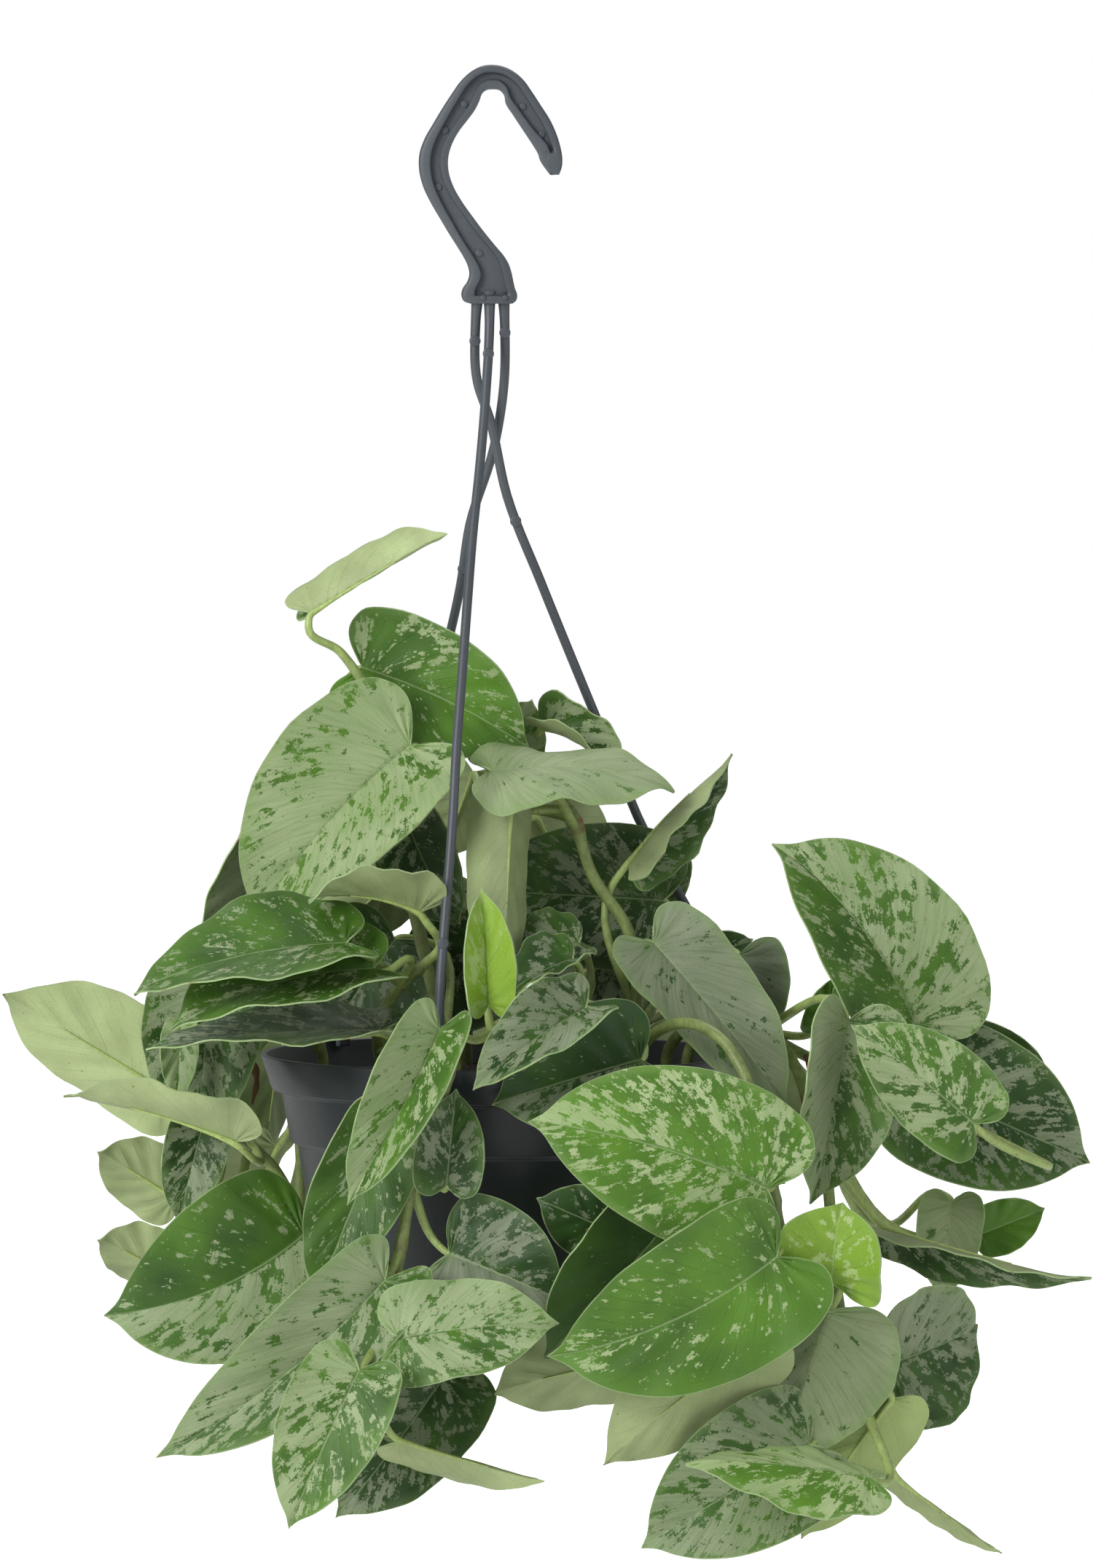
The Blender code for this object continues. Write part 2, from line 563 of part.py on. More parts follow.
def blade_point(one, length, along, across):
    """A point of the blade's middle surface in the leaf's own axes. along and across are millimetres."""
    share = along / length
    half = one.width / 2
    slope = math.radians(one.fold)
    turn = math.radians(one.cup) / half
    side = abs(across)
    if abs(turn) > 1e-4:
        out = (math.sin(slope + turn * side) - math.sin(slope)) / turn
        rise = (math.cos(slope) - math.cos(slope + turn * side)) / turn
    else:
        out = side * math.cos(slope)
        rise = side * math.sin(slope)
    lobe = 1.0 if across >= 0 else -1.0
    rise += one.wave * (side / half) ** 2 * math.sin(2 * math.pi * (1.4 * share + 0.25 * lobe))
    arch = math.radians(math.hypot(one.droop, one.bow))
    angle = arch * (share - 0.5)
    if arch > 0.01:
        aside = Vector((0, one.bow, one.droop)).normalized()
        spine = (math.sin(angle) + math.sin(arch / 2)) * FORWARD + (math.cos(angle) - math.cos(arch / 2)) * aside
        spine *= length / arch
        bend = math.sin(angle) * FORWARD + (math.cos(angle) - 1) * aside
        sideways = SIDEWAYS + SIDEWAYS.dot(aside) * bend
        normal = FACING + FACING.dot(aside) * bend
    else:
        spine, sideways, normal = along * FORWARD, SIDEWAYS, FACING
    twist = math.radians(one.twist) * share
    turned_side = math.cos(twist) * sideways + math.sin(twist) * normal
    turned_normal = math.cos(twist) * normal - math.sin(twist) * sideways
    return spine + lobe * out * turned_side + rise * turned_normal


def blade(one, collection):
    """The leaf's blade: two half blades between the midrib and the margin, then given its thickness."""
    length, place = leaf_frame(one)
    shape = bmesh.new()
    columns = (0, 0.55, 1) if one.fine else (0, 1)
    for lobe in (1, -1):
        rows = []
        for along, across, foot in OUTLINE:
            row = []
            for share in columns:
                x = length * (foot + (along - foot) * share)
                y = one.width / 2 * across * share * lobe
                row.append(shape.verts.new(place @ blade_point(one, length, x, y) * MM))
            rows.append(row)
        for low, high in zip(rows, rows[1:]):
            for left in range(len(columns) - 1):
                corners = [low[left], low[left + 1], high[left + 1], high[left]]
                shape.faces.new(corners if lobe < 0 else corners[::-1])
    bmesh.ops.remove_doubles(shape, verts=shape.verts, dist=0.05 * MM)
    bmesh.ops.triangulate(shape, faces=shape.faces, quad_method="SHORT_EDGE")
    mesh = bpy.data.meshes.new("blade")
    shape.to_mesh(mesh)
    shape.free()
    obj = add_mesh("blade", mesh, collection)
    solid = obj.modifiers.new("thickness", "SOLIDIFY")
    solid.thickness = BLADE_THICKNESS * MM
    solid.offset = 0
    return replace_by_mesh(obj, collection)


def stem_point(stem, share):
    """A point this share of the way along the stem, counted in its own points from the soil."""
    route = smooth_route(stem, STEM_STEPS)
    where = share * (len(route) - 1)
    index = min(int(where), len(route) - 2)
    return route[index].lerp(route[index + 1], where - index)


def petiole(one, stem, collection):
    """The leaf stalk, from the stem up to the notch and a little way under the midrib."""
    length, place = leaf_frame(one)
    foot = stem_point(stem, one.joint)
    junction = place @ blade_point(one, length, 0, 0)
    under = place @ blade_point(one, length, 0.06 * length, 0)
    reach = (junction - foot).length
    back = (junction - under).normalized() - 0.6 * (place.to_3x3() @ Vector((0, 0, 1)))
    before = junction + back.normalized() * min(0.25 * reach, 9)
    points = [foot, before, under]
    if one.via:
        points.insert(1, seen(one.via))
    return tube("petiole", points, PETIOLE_RADIUS, collection, 4, PETIOLE_STEPS, PETIOLE_END)


def make_vine(vine, stem, collection, material):
    """One rooted stem with its leaves, fused into one body."""
    body = tube(vine.name, stem, STEM_RADIUS, collection, smooth=STEM_STEPS)
    pieces = new_collection(vine.name + "_pieces")
    for one in vine.leaves:
        blade(one, pieces)
        petiole(one, stem, pieces)
    join_all(body, pieces, "MANIFOLD")
    body.data.materials.clear()
    body.data.materials.append(material)
    return body


def front_stem(vine):
    foot = vine.stem[0]
    return rooted(*foot) + [seen(place) for place in vine.stem[1:]]


def rooted(x, y):
    """The stem's first points, straight up out of its hole."""
    return [Vector((x, y, STEM_FOOT)), Vector((x, y, SOIL_TOP + SOIL_CROWN)), Vector((x, y, SOIL_TOP + 8))]


def unseen(point):
    """The drawn place that stands for a real point, the inverse of seen."""
    eye = VIEW_CENTRE + VIEW_DISTANCE * Vector((0, -math.cos(VIEW_RISE), math.sin(VIEW_RISE)))
    out = Vector((0, math.cos(VIEW_RISE), -math.sin(VIEW_RISE)))
    up = Vector((0, math.sin(VIEW_RISE), math.cos(VIEW_RISE)))
    ray = point - eye
    drawn = eye + ray * (VIEW_DISTANCE / ray.dot(out)) - VIEW_CENTRE
    return Vector((VIEW_CENTRE.x + drawn.x, point.y, VIEW_CENTRE.z + drawn.dot(up)))


def back_place(angle, radius, height):
    return unseen(rim_point(angle, radius, height))


def back_vine(index, angle, chance):
    """A vine that trails down behind the pot, its leaves turned outward one to each side in turn."""
    stem = rooted(*rim_point(angle, 46, 0).xy)
    for radius, height in ((60, -289), (75, -288), (82, -300), (80, -334), (82, -372)):
        stem.append(rim_point(angle, radius, height))
    leaves = []
    for level, height in enumerate(BACK_LEVELS):
        side = 1 if level % 2 else -1
        reach = 91 - 3 * level
        swing = angle + side * chance.uniform(2, 5)
        base = back_place(swing, reach, height + chance.uniform(-4, 4))
        tip = back_place(swing + side * chance.uniform(1, 4), reach + 16, height - chance.uniform(46, 56))
        outward = rim_point(angle, 1, 0) - Vector((POT_CENTRE_X, 0, 0))
        roll = facing_roll(base, tip, outward) + chance.uniform(-6, 6)
        width = chance.uniform(34, 40)
        leaves.append(Leaf(base, tip, width, 0.5 + 0.24 * level, roll))
    return Vine("vine_back_%d" % (index + 1), None, leaves), stem


def facing_roll(base, tip, outward):
    """The roll that turns a leaf's face as nearly outward as its midrib allows."""
    forward = (seen(tip) - seen(base)).normalized()
    front = Vector((0, -1, 0))
    front = (front - front.dot(forward) * forward).normalized()
    wanted = (outward - outward.dot(forward) * forward).normalized()
    return math.degrees(math.atan2(front.cross(wanted).dot(forward), front.dot(wanted)))


def crown_vine():
    """The tall vine at the back of the crown, whose leaves fill the plant's far side above the rim."""
    stem = rooted(-8, 30) + [Vector((-6, 33, -270)), Vector((-2, 31, -240)), Vector((-4, 28, -216))]
    places = ((-24, 26, -240, -56, 34, -268), (14, 42, -226, 32, 60, -262), (-6, 38, -212, -16, 56, -240),
              (-2, 44, -250, 2, 63, -281))
    leaves = []
    for index, place in enumerate(places):
        base = unseen(Vector(place[:3]))
        tip = unseen(Vector(place[3:]))
        roll = facing_roll(base, tip, Vector((0.15 * (index - 1.5), 1, 0.4)))
        leaves.append(Leaf(base, tip, 38, 0.6 + 0.1 * index, roll))
    return Vine("vine_crown_back", None, leaves), stem


def all_vines():
    chance = random.Random(BACK_SEED)
    vines = [(vine, front_stem(vine)) for vine in VINES]
    vines += [back_vine(index, angle, chance) for index, angle in enumerate(BACK_ANGLES)]
    vines.append(crown_vine())
    return vines


def main():
    clear_scene()
    collection = new_collection(OBJECT_NAME)
    pot_plastic = finish_material("pot_plastic", (0.035, 0.041, 0.049), 0.42)
    hanger_plastic = finish_material("hanger_plastic", (0.075, 0.088, 0.1), 0.45)
    peat = finish_material("peat", (0.03, 0.02, 0.014), 0.95)
    foliage = finish_material("foliage", (0.13, 0.26, 0.07), 0.5)
    vines = all_vines()
    make_pot(collection, pot_plastic)
    make_soil(collection, peat, [(stem[0].x, stem[0].y) for vine, stem in vines])
    make_hanger(collection, hanger_plastic)
    for vine, stem in vines:
        make_vine(vine, stem, collection, foliage)


main()
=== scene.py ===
"""Finished looks for a satin pothos in its hanging pot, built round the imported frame.

The frame's origin is the inside of the hook's crown. Tables give millimetres, and finished meshes are in
metres.
"""

import math
import random
from collections import namedtuple

import bpy
import numpy as np
from mathutils import Matrix, Vector


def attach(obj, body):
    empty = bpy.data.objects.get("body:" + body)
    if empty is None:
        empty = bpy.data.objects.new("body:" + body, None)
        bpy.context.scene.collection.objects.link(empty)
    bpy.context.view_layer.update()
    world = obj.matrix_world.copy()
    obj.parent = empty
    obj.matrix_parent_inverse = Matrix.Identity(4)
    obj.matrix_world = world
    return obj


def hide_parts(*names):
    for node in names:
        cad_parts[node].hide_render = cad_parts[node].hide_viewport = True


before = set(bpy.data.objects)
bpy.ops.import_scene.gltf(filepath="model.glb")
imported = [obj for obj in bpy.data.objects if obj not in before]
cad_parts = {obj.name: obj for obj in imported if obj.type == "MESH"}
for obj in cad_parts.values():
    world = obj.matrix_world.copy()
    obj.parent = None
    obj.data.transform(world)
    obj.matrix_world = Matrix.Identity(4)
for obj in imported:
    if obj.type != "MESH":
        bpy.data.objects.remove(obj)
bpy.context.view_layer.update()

bl_info = {
    "name": "Satin pothos in a hanging pot",
    "version": (1, 0, 0),
    "blender": (4, 5, 0),
    "location": "View3D > Sidebar > Pothos",
    "description": "Builds a trailing satin pothos, its nursery pot, soil and hanger",
    "category": "Object",
}

MM = 0.001
BODY = "root"

# Pot and soil
POT_CENTRE_X = 2.5
RIM_TOP = -297.0
BAND_HEIGHT = 11.0
POT_FLOOR = -371.0
POT_STEPS = 144
DRAIN_RING = 30.0
SOIL_TOP = -306.0
SOIL_CROWN = 3.0
SOIL_STEPS = 150

# Stems
STEM_FOOT = -315.0
STEM_RADIUS = 1.85
STEM_STEPS = 6
PETIOLE_RADIUS = 1.2
PETIOLE_STEPS = 8
# How far along the midrib the leaf stalk's ridge is drawn, and its radius at each of those places.
RIDGE = ((0.0, 1.05), (0.05, 0.85), (0.16, 0.60), (0.36, 0.40), (0.62, 0.22))

# The plant's places are drawn as they look from in front, from this far off and this much above level.
VIEW_CENTRE = Vector((16.9, 0.0, -214.0))
VIEW_DISTANCE = 2600.0
VIEW_RISE = math.radians(2.5)
VIEW_HEIGHT = 484.2
VIEW_OUT = Vector((0, -math.cos(VIEW_RISE), math.sin(VIEW_RISE)))
VIEW_UP = Vector((0, math.sin(VIEW_RISE), math.cos(VIEW_RISE)))
EYE = VIEW_CENTRE + VIEW_DISTANCE * VIEW_OUT

# Half of a leaf's outline from the notch round the lobe to the tip: along, across, and the vein's foot.
OUTLINE = (
    (0.00, 0.00, 0.000), (-0.06, 0.17, 0.000), (-0.11, 0.42, 0.000), (-0.09, 0.68, 0.000),
    (-0.02, 0.88, 0.005), (0.11, 0.98, 0.020), (0.26, 1.00, 0.055), (0.44, 0.95, 0.130),
    (0.60, 0.83, 0.240), (0.75, 0.61, 0.400), (0.86, 0.36, 0.580), (0.94, 0.11, 0.800),
    (1.00, 0.00, 1.000),
)
# How far a side vein keeps square to the midrib before it sweeps towards the tip.
VEIN_SWEEP = 1.25
COLUMN_CROWDING = 1.3

# Relief of a blade in millimetres: the margin's ripple, the groove over the midrib, the furrows of the side
# veins and the tip's curl, which starts this far along.
RIPPLE = 0.55
RIPPLE_TURNS = 26
GROOVE = 0.35
GROOVE_WIDTH = 0.8
FURROW = 0.32
FURROW_TURNS = 52
TIP_CURL = 1.6
TIP_START = 0.82
# A cup or droop of nought stands for this many degrees, so that nothing is divided by nought.
FLAT = 0.01

# joint is how far up the stem the petiole leaves it. roll turns the face from the viewer about the midrib.
# fold is each half's slope at the midrib, cup its further turn to the margin. droop arches the midrib towards
# the face, and bow arches it sideways. twist turns the tip about the midrib, wave is the height of the slow
# wave in the margin, and via bends the petiole. silver is the share of the blade that is silver, other the
# share on its right half where that differs; where the halves differ, this is partly a painted sheen on the
# half that catches the light. tone is how light its green is, partly the leaf's own green and partly painted
# shade, low for leaves that hang in shade inside the plant. youth is how yellow.
Leaf = namedtuple(
    "Leaf", "base tip width joint roll fold cup droop silver tone bow twist wave via other youth",
    defaults=(14, 10, 20, 0.5, 0.5, 0, 0, 1.5, None, None, 0.0),
)
Vine = namedtuple("Vine", "name stem leaves")


def leaf(base, tip, *looks, **bends):
    """A leaf from its junction with the petiole to its tip, the rest in the order of Leaf's columns."""
    return Leaf(Vector(base), Vector(tip), *looks, **bends)


# Each place is x, depth, z, with depth less than nought towards the viewer.
# Columns: base, tip, width, joint, roll, fold, cup, droop, silver, tone.
VINES = (
    Vine("vine_top_left", ((-14, -20), (-19, -15, -275), (-27, -12, -240), (-35, -11, -208),
         (-40, -18, -182)), (
        leaf((-56, -22, -161), (-14, -28, -136), 32, 1.0, -150, 40, 90, 6, 0.6, 0.7, wave=1,
             via=(-47, -19, -173)),
        leaf((-40, -6, -178), (12, -9, -203), 44, 0.9, -8, 16, 20, 22, 0.1, 0.55, bow=14, other=0.3),
        leaf((-25, -25, -202), (-74, -35, -258), 58, 0.8, 22, 22, 8, 26, 0.8, 0.55, bow=-12, other=0.66),
        leaf((-62, -8, -224), (-90, -12, -268), 36, 0.6, -25, 20, 10, 20, 0.9, 0.2),
        leaf((-26, -12, -226), (-10, -14, -258), 28, 0.55, 20, 14, 10, 30, 0.3, 0.1),
        leaf((-30, 9, -262), (-50, 5, -291), 42, 0.3, 12, 14, 10, 20, 0.3, 0.05),
    )),
    Vine("vine_top_centre", ((22, 6), (26, 9, -275), (28, 9, -245), (23, 9, -218)), (
        leaf((53, -2, -250), (-9, -8, -247), 46, 0.7, 10, 12, -10, 18, 0.42, 0.08),
        leaf((16, 4, -196), (40, -1, -211), 24, 1.0, -40, 30, 60, 46, 0.5, 0.4),
        leaf((0, 7, -208), (13, 8, -188), 25, 0.95, 20, 14, 10, 20, 0.6, 0.4),
        leaf((50, 27, -252), (61, 27, -233), 14, 0.6, 0, 14, 10, 20, 0.5, 0.2),
        leaf((-2, 24, -262), (-22, 22, -291), 42, 0.2, 8, 14, 10, 20, 0.35, 0.05),
        leaf((31, 24, -263), (46, 20, -292), 40, 0.25, -8, 14, 10, 20, 0.5, 0.05),
    )),
    Vine("vine_umbrella", ((46, -24), (45, -22, -285), (42, -20, -259), (31, -20, -242), (25, -22, -222)), (
        leaf((0, -33, -210), (57, -29, -215), 46, 1.0, -68, 8, -35, 30, 1.0, 0.45, wave=3),
        leaf((6, -37, -219), (4, -50, -273), 34, 0.95, 165, 34, 40, 10, 0.5, 0.45),
        leaf((43, -18, -239), (75, -16, -206), 26, 0.45, 55, 48, 20, -24, 0.45, 0.2),
    )),
    Vine("vine_left", ((-34, -28), (-35, -38, -288), (-28, -44, -276), (-21, -48, -270)), (
        leaf((-22, -60, -253), (-57, -72, -249), 32, 1.0, 112, 14, 14, 34, 0.6, 0.5, via=(-16, -54, -264)),
        leaf((-45, -73, -263), (-111, -82, -278), 42, 0.8, 58, 10, 12, 26, 0.22, 0.36, wave=2.5, other=0.3),
        leaf((-37, -68, -271), (-100, -79, -289), 44, 0.75, 54, 14, 18, 34, 0.2, 0.5, wave=3,
             via=(-26, -58, -268), other=0.25),
        leaf((-34, -60, -290), (-107, -70, -295), 34, 0.45, 74, 8, 8, 10, 0.35, 0.1, wave=2),
    )),
    Vine("vine_far_left", ((-52, -12), (-60, -16, -287), (-73, -21, -289), (-82, -26, -303), (-79, -31, -320),
         (-67, -46, -333), (-60, -54, -345)), (
        leaf((-100, -24, -309), (-151, -30, -278), 42, 0.42, 155, 10, 10, 24, 0.6, 1.0, bow=-14, wave=2),
        leaf((-85, -38, -273), (-91, -41, -326), 40, 0.3, 15, 14, 10, 24, 0.55, 0.25, wave=2),
        leaf((-96, -50, -289), (-97, -53, -313), 13, 0.4, 0, 20, 10, 10, 0.9, 0.5),
        leaf((-79, -66, -324), (-132, -72, -309), 28, 0.7, 118, 12, 30, 12, 0.2, 0.55, wave=2),
        leaf((-89, -49, -318), (-97, -53, -350), 21, 0.6, 0, 14, 10, 20, 0.5, 0.15),
        leaf((-98, -30, -342), (-122, -36, -327), 26, 0.68, 170, 14, 10, 20, 0.5, 0.5),
        leaf((-99, -40, -366), (-122, -48, -354), 24, 0.8, 160, 14, 10, 20, 0.5, 0.5),
        leaf((-58, -66, -353), (-120, -78, -378), 56, 1.0, 12, 12, 12, 24, 0.12, 0.38, bow=40, other=0.66),
    )),
    Vine("vine_front_left", ((-10, -50), (-10, -62, -288), (-11, -76, -292), (-14, -79, -306),
         (-22, -78, -325), (-28, -80, -356), (-34, -86, -386)), (
        leaf((-33, -77, -318), (-55, -80, -374), 32, 0.6, -20, 16, 16, 8, 0.2, 0.4, twist=50, wave=2),
        leaf((-14, -84, -338), (-11, -82, -308), 23, 0.66, 0, 14, 16, 16, 0.45, 0.1),
        leaf((-13, -81, -359), (23, -86, -374), 42, 0.8, -10, 8, 8, 24, 1.1, 0.05, other=0.4),
        leaf((-33, -90, -367), (-104, -100, -422), 35, 0.88, 12, 18, 12, 26, 0.85, 0.35, bow=26, wave=2,
             other=0.5),
        leaf((-29, -103, -385), (21, -106, -380), 33, 0.97, -24, 12, -20, 26, 0.55, 0.45, wave=3, other=0.75),
        leaf((-41, -113, -395), (-63, -121, -444), 34, 1.0, 12, 14, 10, 16, 0.6, 0.5, other=0.35),
        leaf((-14, -72, -396), (-48, -80, -441), 38, 0.92, -12, 14, 10, 20, 0.45, 0.1),
        leaf((-29, -95, -417), (16, -94, -430), 22, 1.0, 150, 46, 60, 4, 0.5, 0.7, wave=0),
    )),
    Vine("vine_front_centre", ((8, -44), (6, -56, -290), (3, -68, -288), (0, -78, -291)), (
        leaf((-1, -84, -282), (-3, -80, -246), 22, 1.0, 8, 38, 14, 12, 0.0, 0.9, other=0.45, youth=0.7),
        leaf((-16, -87, -290), (-45, -96, -344), 31, 1.0, 12, 34, 22, 20, 0.82, 0.5, bow=12, wave=2,
             via=(-6, -84, -293), other=0.4),
        leaf((29, -82, -283), (-6, -100, -308), 28, 0.6, 26, 24, 30, 30, 0.6, 0.15, wave=3),
        leaf((46, -70, -299), (0, -77, -313), 42, 0.5, 12, 14, 10, 20, 0.0, 0.1, via=(30, -60, -282),
             other=0.6),
        leaf((27, -30, -263), (4, -36, -269), 26, 0.35, 50, 14, 10, 20, 0.5, 0.15),
        leaf((25, -44, -268), (5, -52, -279), 22, 0.4, 50, 20, 30, 30, 0.2, 0.1),
    )),
    Vine("vine_front_right", ((44, -42), (57, -56, -288), (70, -69, -292), (81, -79, -311), (87, -86, -340),
         (90, -92, -362)), (
        leaf((85, -92, -339), (11, -96, -318), 54, 0.82, 14, 14, -12, 20, 0.4, 0.7, bow=-16),
        leaf((88, -101, -360), (17, -109, -391), 50, 0.95, -2, 10, 10, 18, 0.12, 0.62, bow=28),
        leaf((52, -80, -352), (16, -86, -392), 44, 0.8, -16, 14, 10, 16, -0.2, 0.12),
        leaf((42, -75, -392), (0, -78, -402), 34, 0.95, 160, 14, 10, 20, 0.5, 0.45),
        leaf((82, -92, -386), (34, -96, -424), 38, 1.0, 165, 14, 10, 16, 0.5, 0.5),
        leaf((37, -74, -352), (14, -78, -342), 24, 0.75, 0, 14, 10, 10, 0.2, 0.05),
        leaf((105, -91, -368), (108, -94, -343), 42, 1.0, -14, 14, 36, 40, 0.25, 0.9, wave=2, youth=0.55),
    )),
    Vine("vine_mid_right", ((38, -4), (42, -7, -288), (48, -13, -271)), (
        leaf((50, -31, -263), (92, -46, -314), 36, 1.0, -26, 14, 8, 14, 0.95, 0.12),
        leaf((76, 0, -267), (81, -6, -297), 34, 0.5, 10, 14, 10, 24, 1.05, 0.0),
        leaf((62, 6, -268), (81, 8, -262), 14, 0.6, 0, 14, 10, 10, 0.3, 0.1),
    )),
    Vine("vine_upper_right", ((54, -4), (66, -9, -287), (79, -13, -289), (97, -17, -298), (128, -20, -310)), (
        leaf((131, -24, -289), (87, -34, -232), 56, 0.95, 24, 24, 8, 28, 0.6, 0.45, bow=-24, other=0.3),
        leaf((149, -66, -319), (111, -69, -288), 32, 1.0, 14, 10, 8, 20, 0.45, 0.5, via=(172, -42, -332)),
        leaf((110, -53, -287), (99, -57, -344), 40, 0.7, -24, 28, 10, 10, 1.0, 0.35, other=0.5),
        leaf((131, -8, -307), (185, -12, -331), 52, 0.9, -8, 14, 10, 14, 0.4, 0.12),
        leaf((150, 4, -292), (172, 0, -302), 13, 0.95, 0, 14, 10, 10, 0.3, 0.2),
        leaf((101, -22, -290), (107, -26, -273), 13, 0.7, 0, 14, 10, 20, -0.3, 0.3),
    )),
    Vine("vine_low_right", ((60, -20), (70, -27, -287), (84, -31, -290), (100, -31, -318), (105, -48, -350),
         (108, -68, -382), (116, -76, -408)), (
        leaf((121, -36, -352), (185, -40, -368), 20, 0.66, 56, 24, 30, 6, 0.4, 0.15),
        leaf((142, 2, -343), (139, -4, -373), 22, 0.62, 0, 14, 10, 10, 1.0, 0.4, via=(124, 0, -350)),
        leaf((151, 9, -353), (171, 11, -345), 18, 0.6, 0, 14, 10, 10, -0.3, 0.6, via=(126, -4, -352)),
        leaf((104, -83, -377), (90, -79, -425), 52, 0.8, 30, -36, -6, 16, 1.08, 0.4, other=1.02),
        leaf((123, -73, -404), (95, -79, -447), 36, 0.98, 165, 14, 10, 20, 0.4, 0.7, youth=0.5),
        leaf((117, -106, -428), (60, -114, -423), 34, 1.0, 63, -14, -10, 14, 0.85, 0.8, wave=2, other=0.5),
        leaf((98, -82, -418), (46, -92, -450), 46, 0.96, 10, 14, 10, 18, 0.62, 0.25),
        leaf((123, -60, -393), (151, -34, -381), 46, 0.85, 14, 14, 10, 20, 0.45, 0.2, other=0.75),
        leaf((125, -74, -429), (157, -72, -452), 10, 1.0, 150, 40, 40, 6, 0.5, 0.7, wave=0),
    )),
)

# Dry sheaths and aerial roots: vine, places and radius.
ROOTS = (
    ("vine_far_left", ((-73, -20, -290), (-74.5, -25, -298), (-72.6, -28, -305), (-74, -29, -313)), 1.5),
    ("vine_far_left", ((-80, -31, -318), (-84.4, -34, -322), (-85.3, -36, -329), (-84.2, -36, -334)), 0.7),
    ("vine_far_left", ((-66, -48, -334), (-69, -52, -342), (-68, -53, -351)), 0.7),
    ("vine_front_left", ((-29, -81, -359), (-33, -84, -366), (-34.5, -85, -374)), 0.8),
    ("vine_front_centre", ((6, -58, -289), (4, -66, -296), (5, -70, -304)), 0.8),
    ("vine_upper_right", ((97, -19, -298), (99, -24, -306), (97.6, -26, -314)), 0.8),
    ("vine_low_right", ((105, -50, -352), (108, -54, -360), (107, -57, -368)), 0.8),
)

# Vines behind the pot: the direction each one trails in, seen from above, its stem's radii and heights, and
# the heights of its leaves.
BACK_ANGLES = (38, 64, 90, 116, 142)
BACK_STEM = ((60, -289), (75, -288), (82, -300), (80, -334), (82, -372))
BACK_LEVELS = (-296, -330, -366)
# The tall vine at the back of the crown: its stem, and the real places of its leaves' bases and tips.
CROWN_STEM = ((-6, 33, -270), (-2, 31, -240), (-4, 28, -216))
CROWN_LEAVES = (
    ((-24, 26, -240), (-56, 34, -268)), ((14, 42, -226), (32, 60, -262)), ((-6, 38, -212), (-16, 56, -240)),
    ((-2, 44, -250), (2, 63, -281)),
)
BACK_SEED = 7
LOOK_SEED = 21

# The hook's two edges, as pairs of places straight across from each other, from the foot round the crown to
# the tip, each pair with the widths of the borders beside its recess.
HOOK_RUNGS = (
    (-6.6, -65.9, 6.4, -65.9, 3.4, 2.4), (-8.7, -65.0, 7.5, -65.0, 3.8, 2.6),
    (-9.35, -63.2, 7.9, -63.4, 4.1, 2.9), (-8.9, -61.2, 7.2, -61.2, 4.0, 2.6),
    (-7.6, -59.3, 6.7, -59.0, 3.8, 2.6), (-6.9, -57.0, 6.2, -56.6, 3.6, 2.6),
    (-7.4, -54.2, 5.3, -53.8, 3.3, 2.5), (-8.6, -51.7, 3.9, -51.4, 3.1, 2.3),
    (-10.6, -48.4, 1.4, -48.4, 3.0, 2.2), (-13.2, -44.3, -2.2, -44.0, 3.0, 2.2),
    (-16.0, -39.6, -5.8, -39.2, 3.1, 2.2), (-18.8, -34.8, -9.2, -34.4, 3.3, 2.2),
    (-21.0, -30.2, -11.6, -30.2, 3.5, 2.2), (-22.3, -25.0, -13.2, -25.4, 3.6, 2.2),
    (-22.2, -19.8, -13.3, -20.6, 3.6, 2.2), (-20.6, -15.2, -12.1, -16.6, 3.4, 2.1),
    (-18.2, -11.0, -10.0, -12.8, 3.1, 2.0), (-15.2, -6.0, -7.4, -9.4, 2.8, 2.0),
    (-12.2, -1.4, -5.2, -6.4, 2.6, 2.0), (-9.3, 2.6, -3.7, -3.4, 2.4, 2.1),
    (-5.4, 5.9, -2.9, -1.3, 2.3, 2.4), (-2.3, 7.2, -1.7, -0.3, 2.3, 2.6),
    (0.6, 7.4, 0.4, 0.0, 2.3, 2.7), (3.6, 6.9, 2.4, -0.3, 2.3, 2.6),
    (6.6, 5.5, 3.7, -1.6, 2.3, 2.4), (9.6, 3.0, 4.3, -4.3, 2.3, 2.4),
    (12.4, -0.8, 6.5, -7.8, 2.4, 2.5), (15.2, -5.1, 9.0, -11.6, 2.4, 2.6),
    (17.9, -9.3, 11.4, -15.2, 2.5, 2.9), (19.9, -13.6, 13.4, -18.3, 2.5, 3.6),
    (21.2, -17.8, 14.3, -19.9, 2.6, 4.3), (21.8, -21.6, 14.8, -21.6, 2.7, 4.4),
    (21.6, -24.0, 16.4, -24.2, 2.6, 2.6), (20.8, -26.2, 18.0, -26.3, 1.4, 1.4),
)
HOOK_STEPS = 5
HOOK_RECESS = 2.1
HOOK_EDGE_ROUND = 0.8
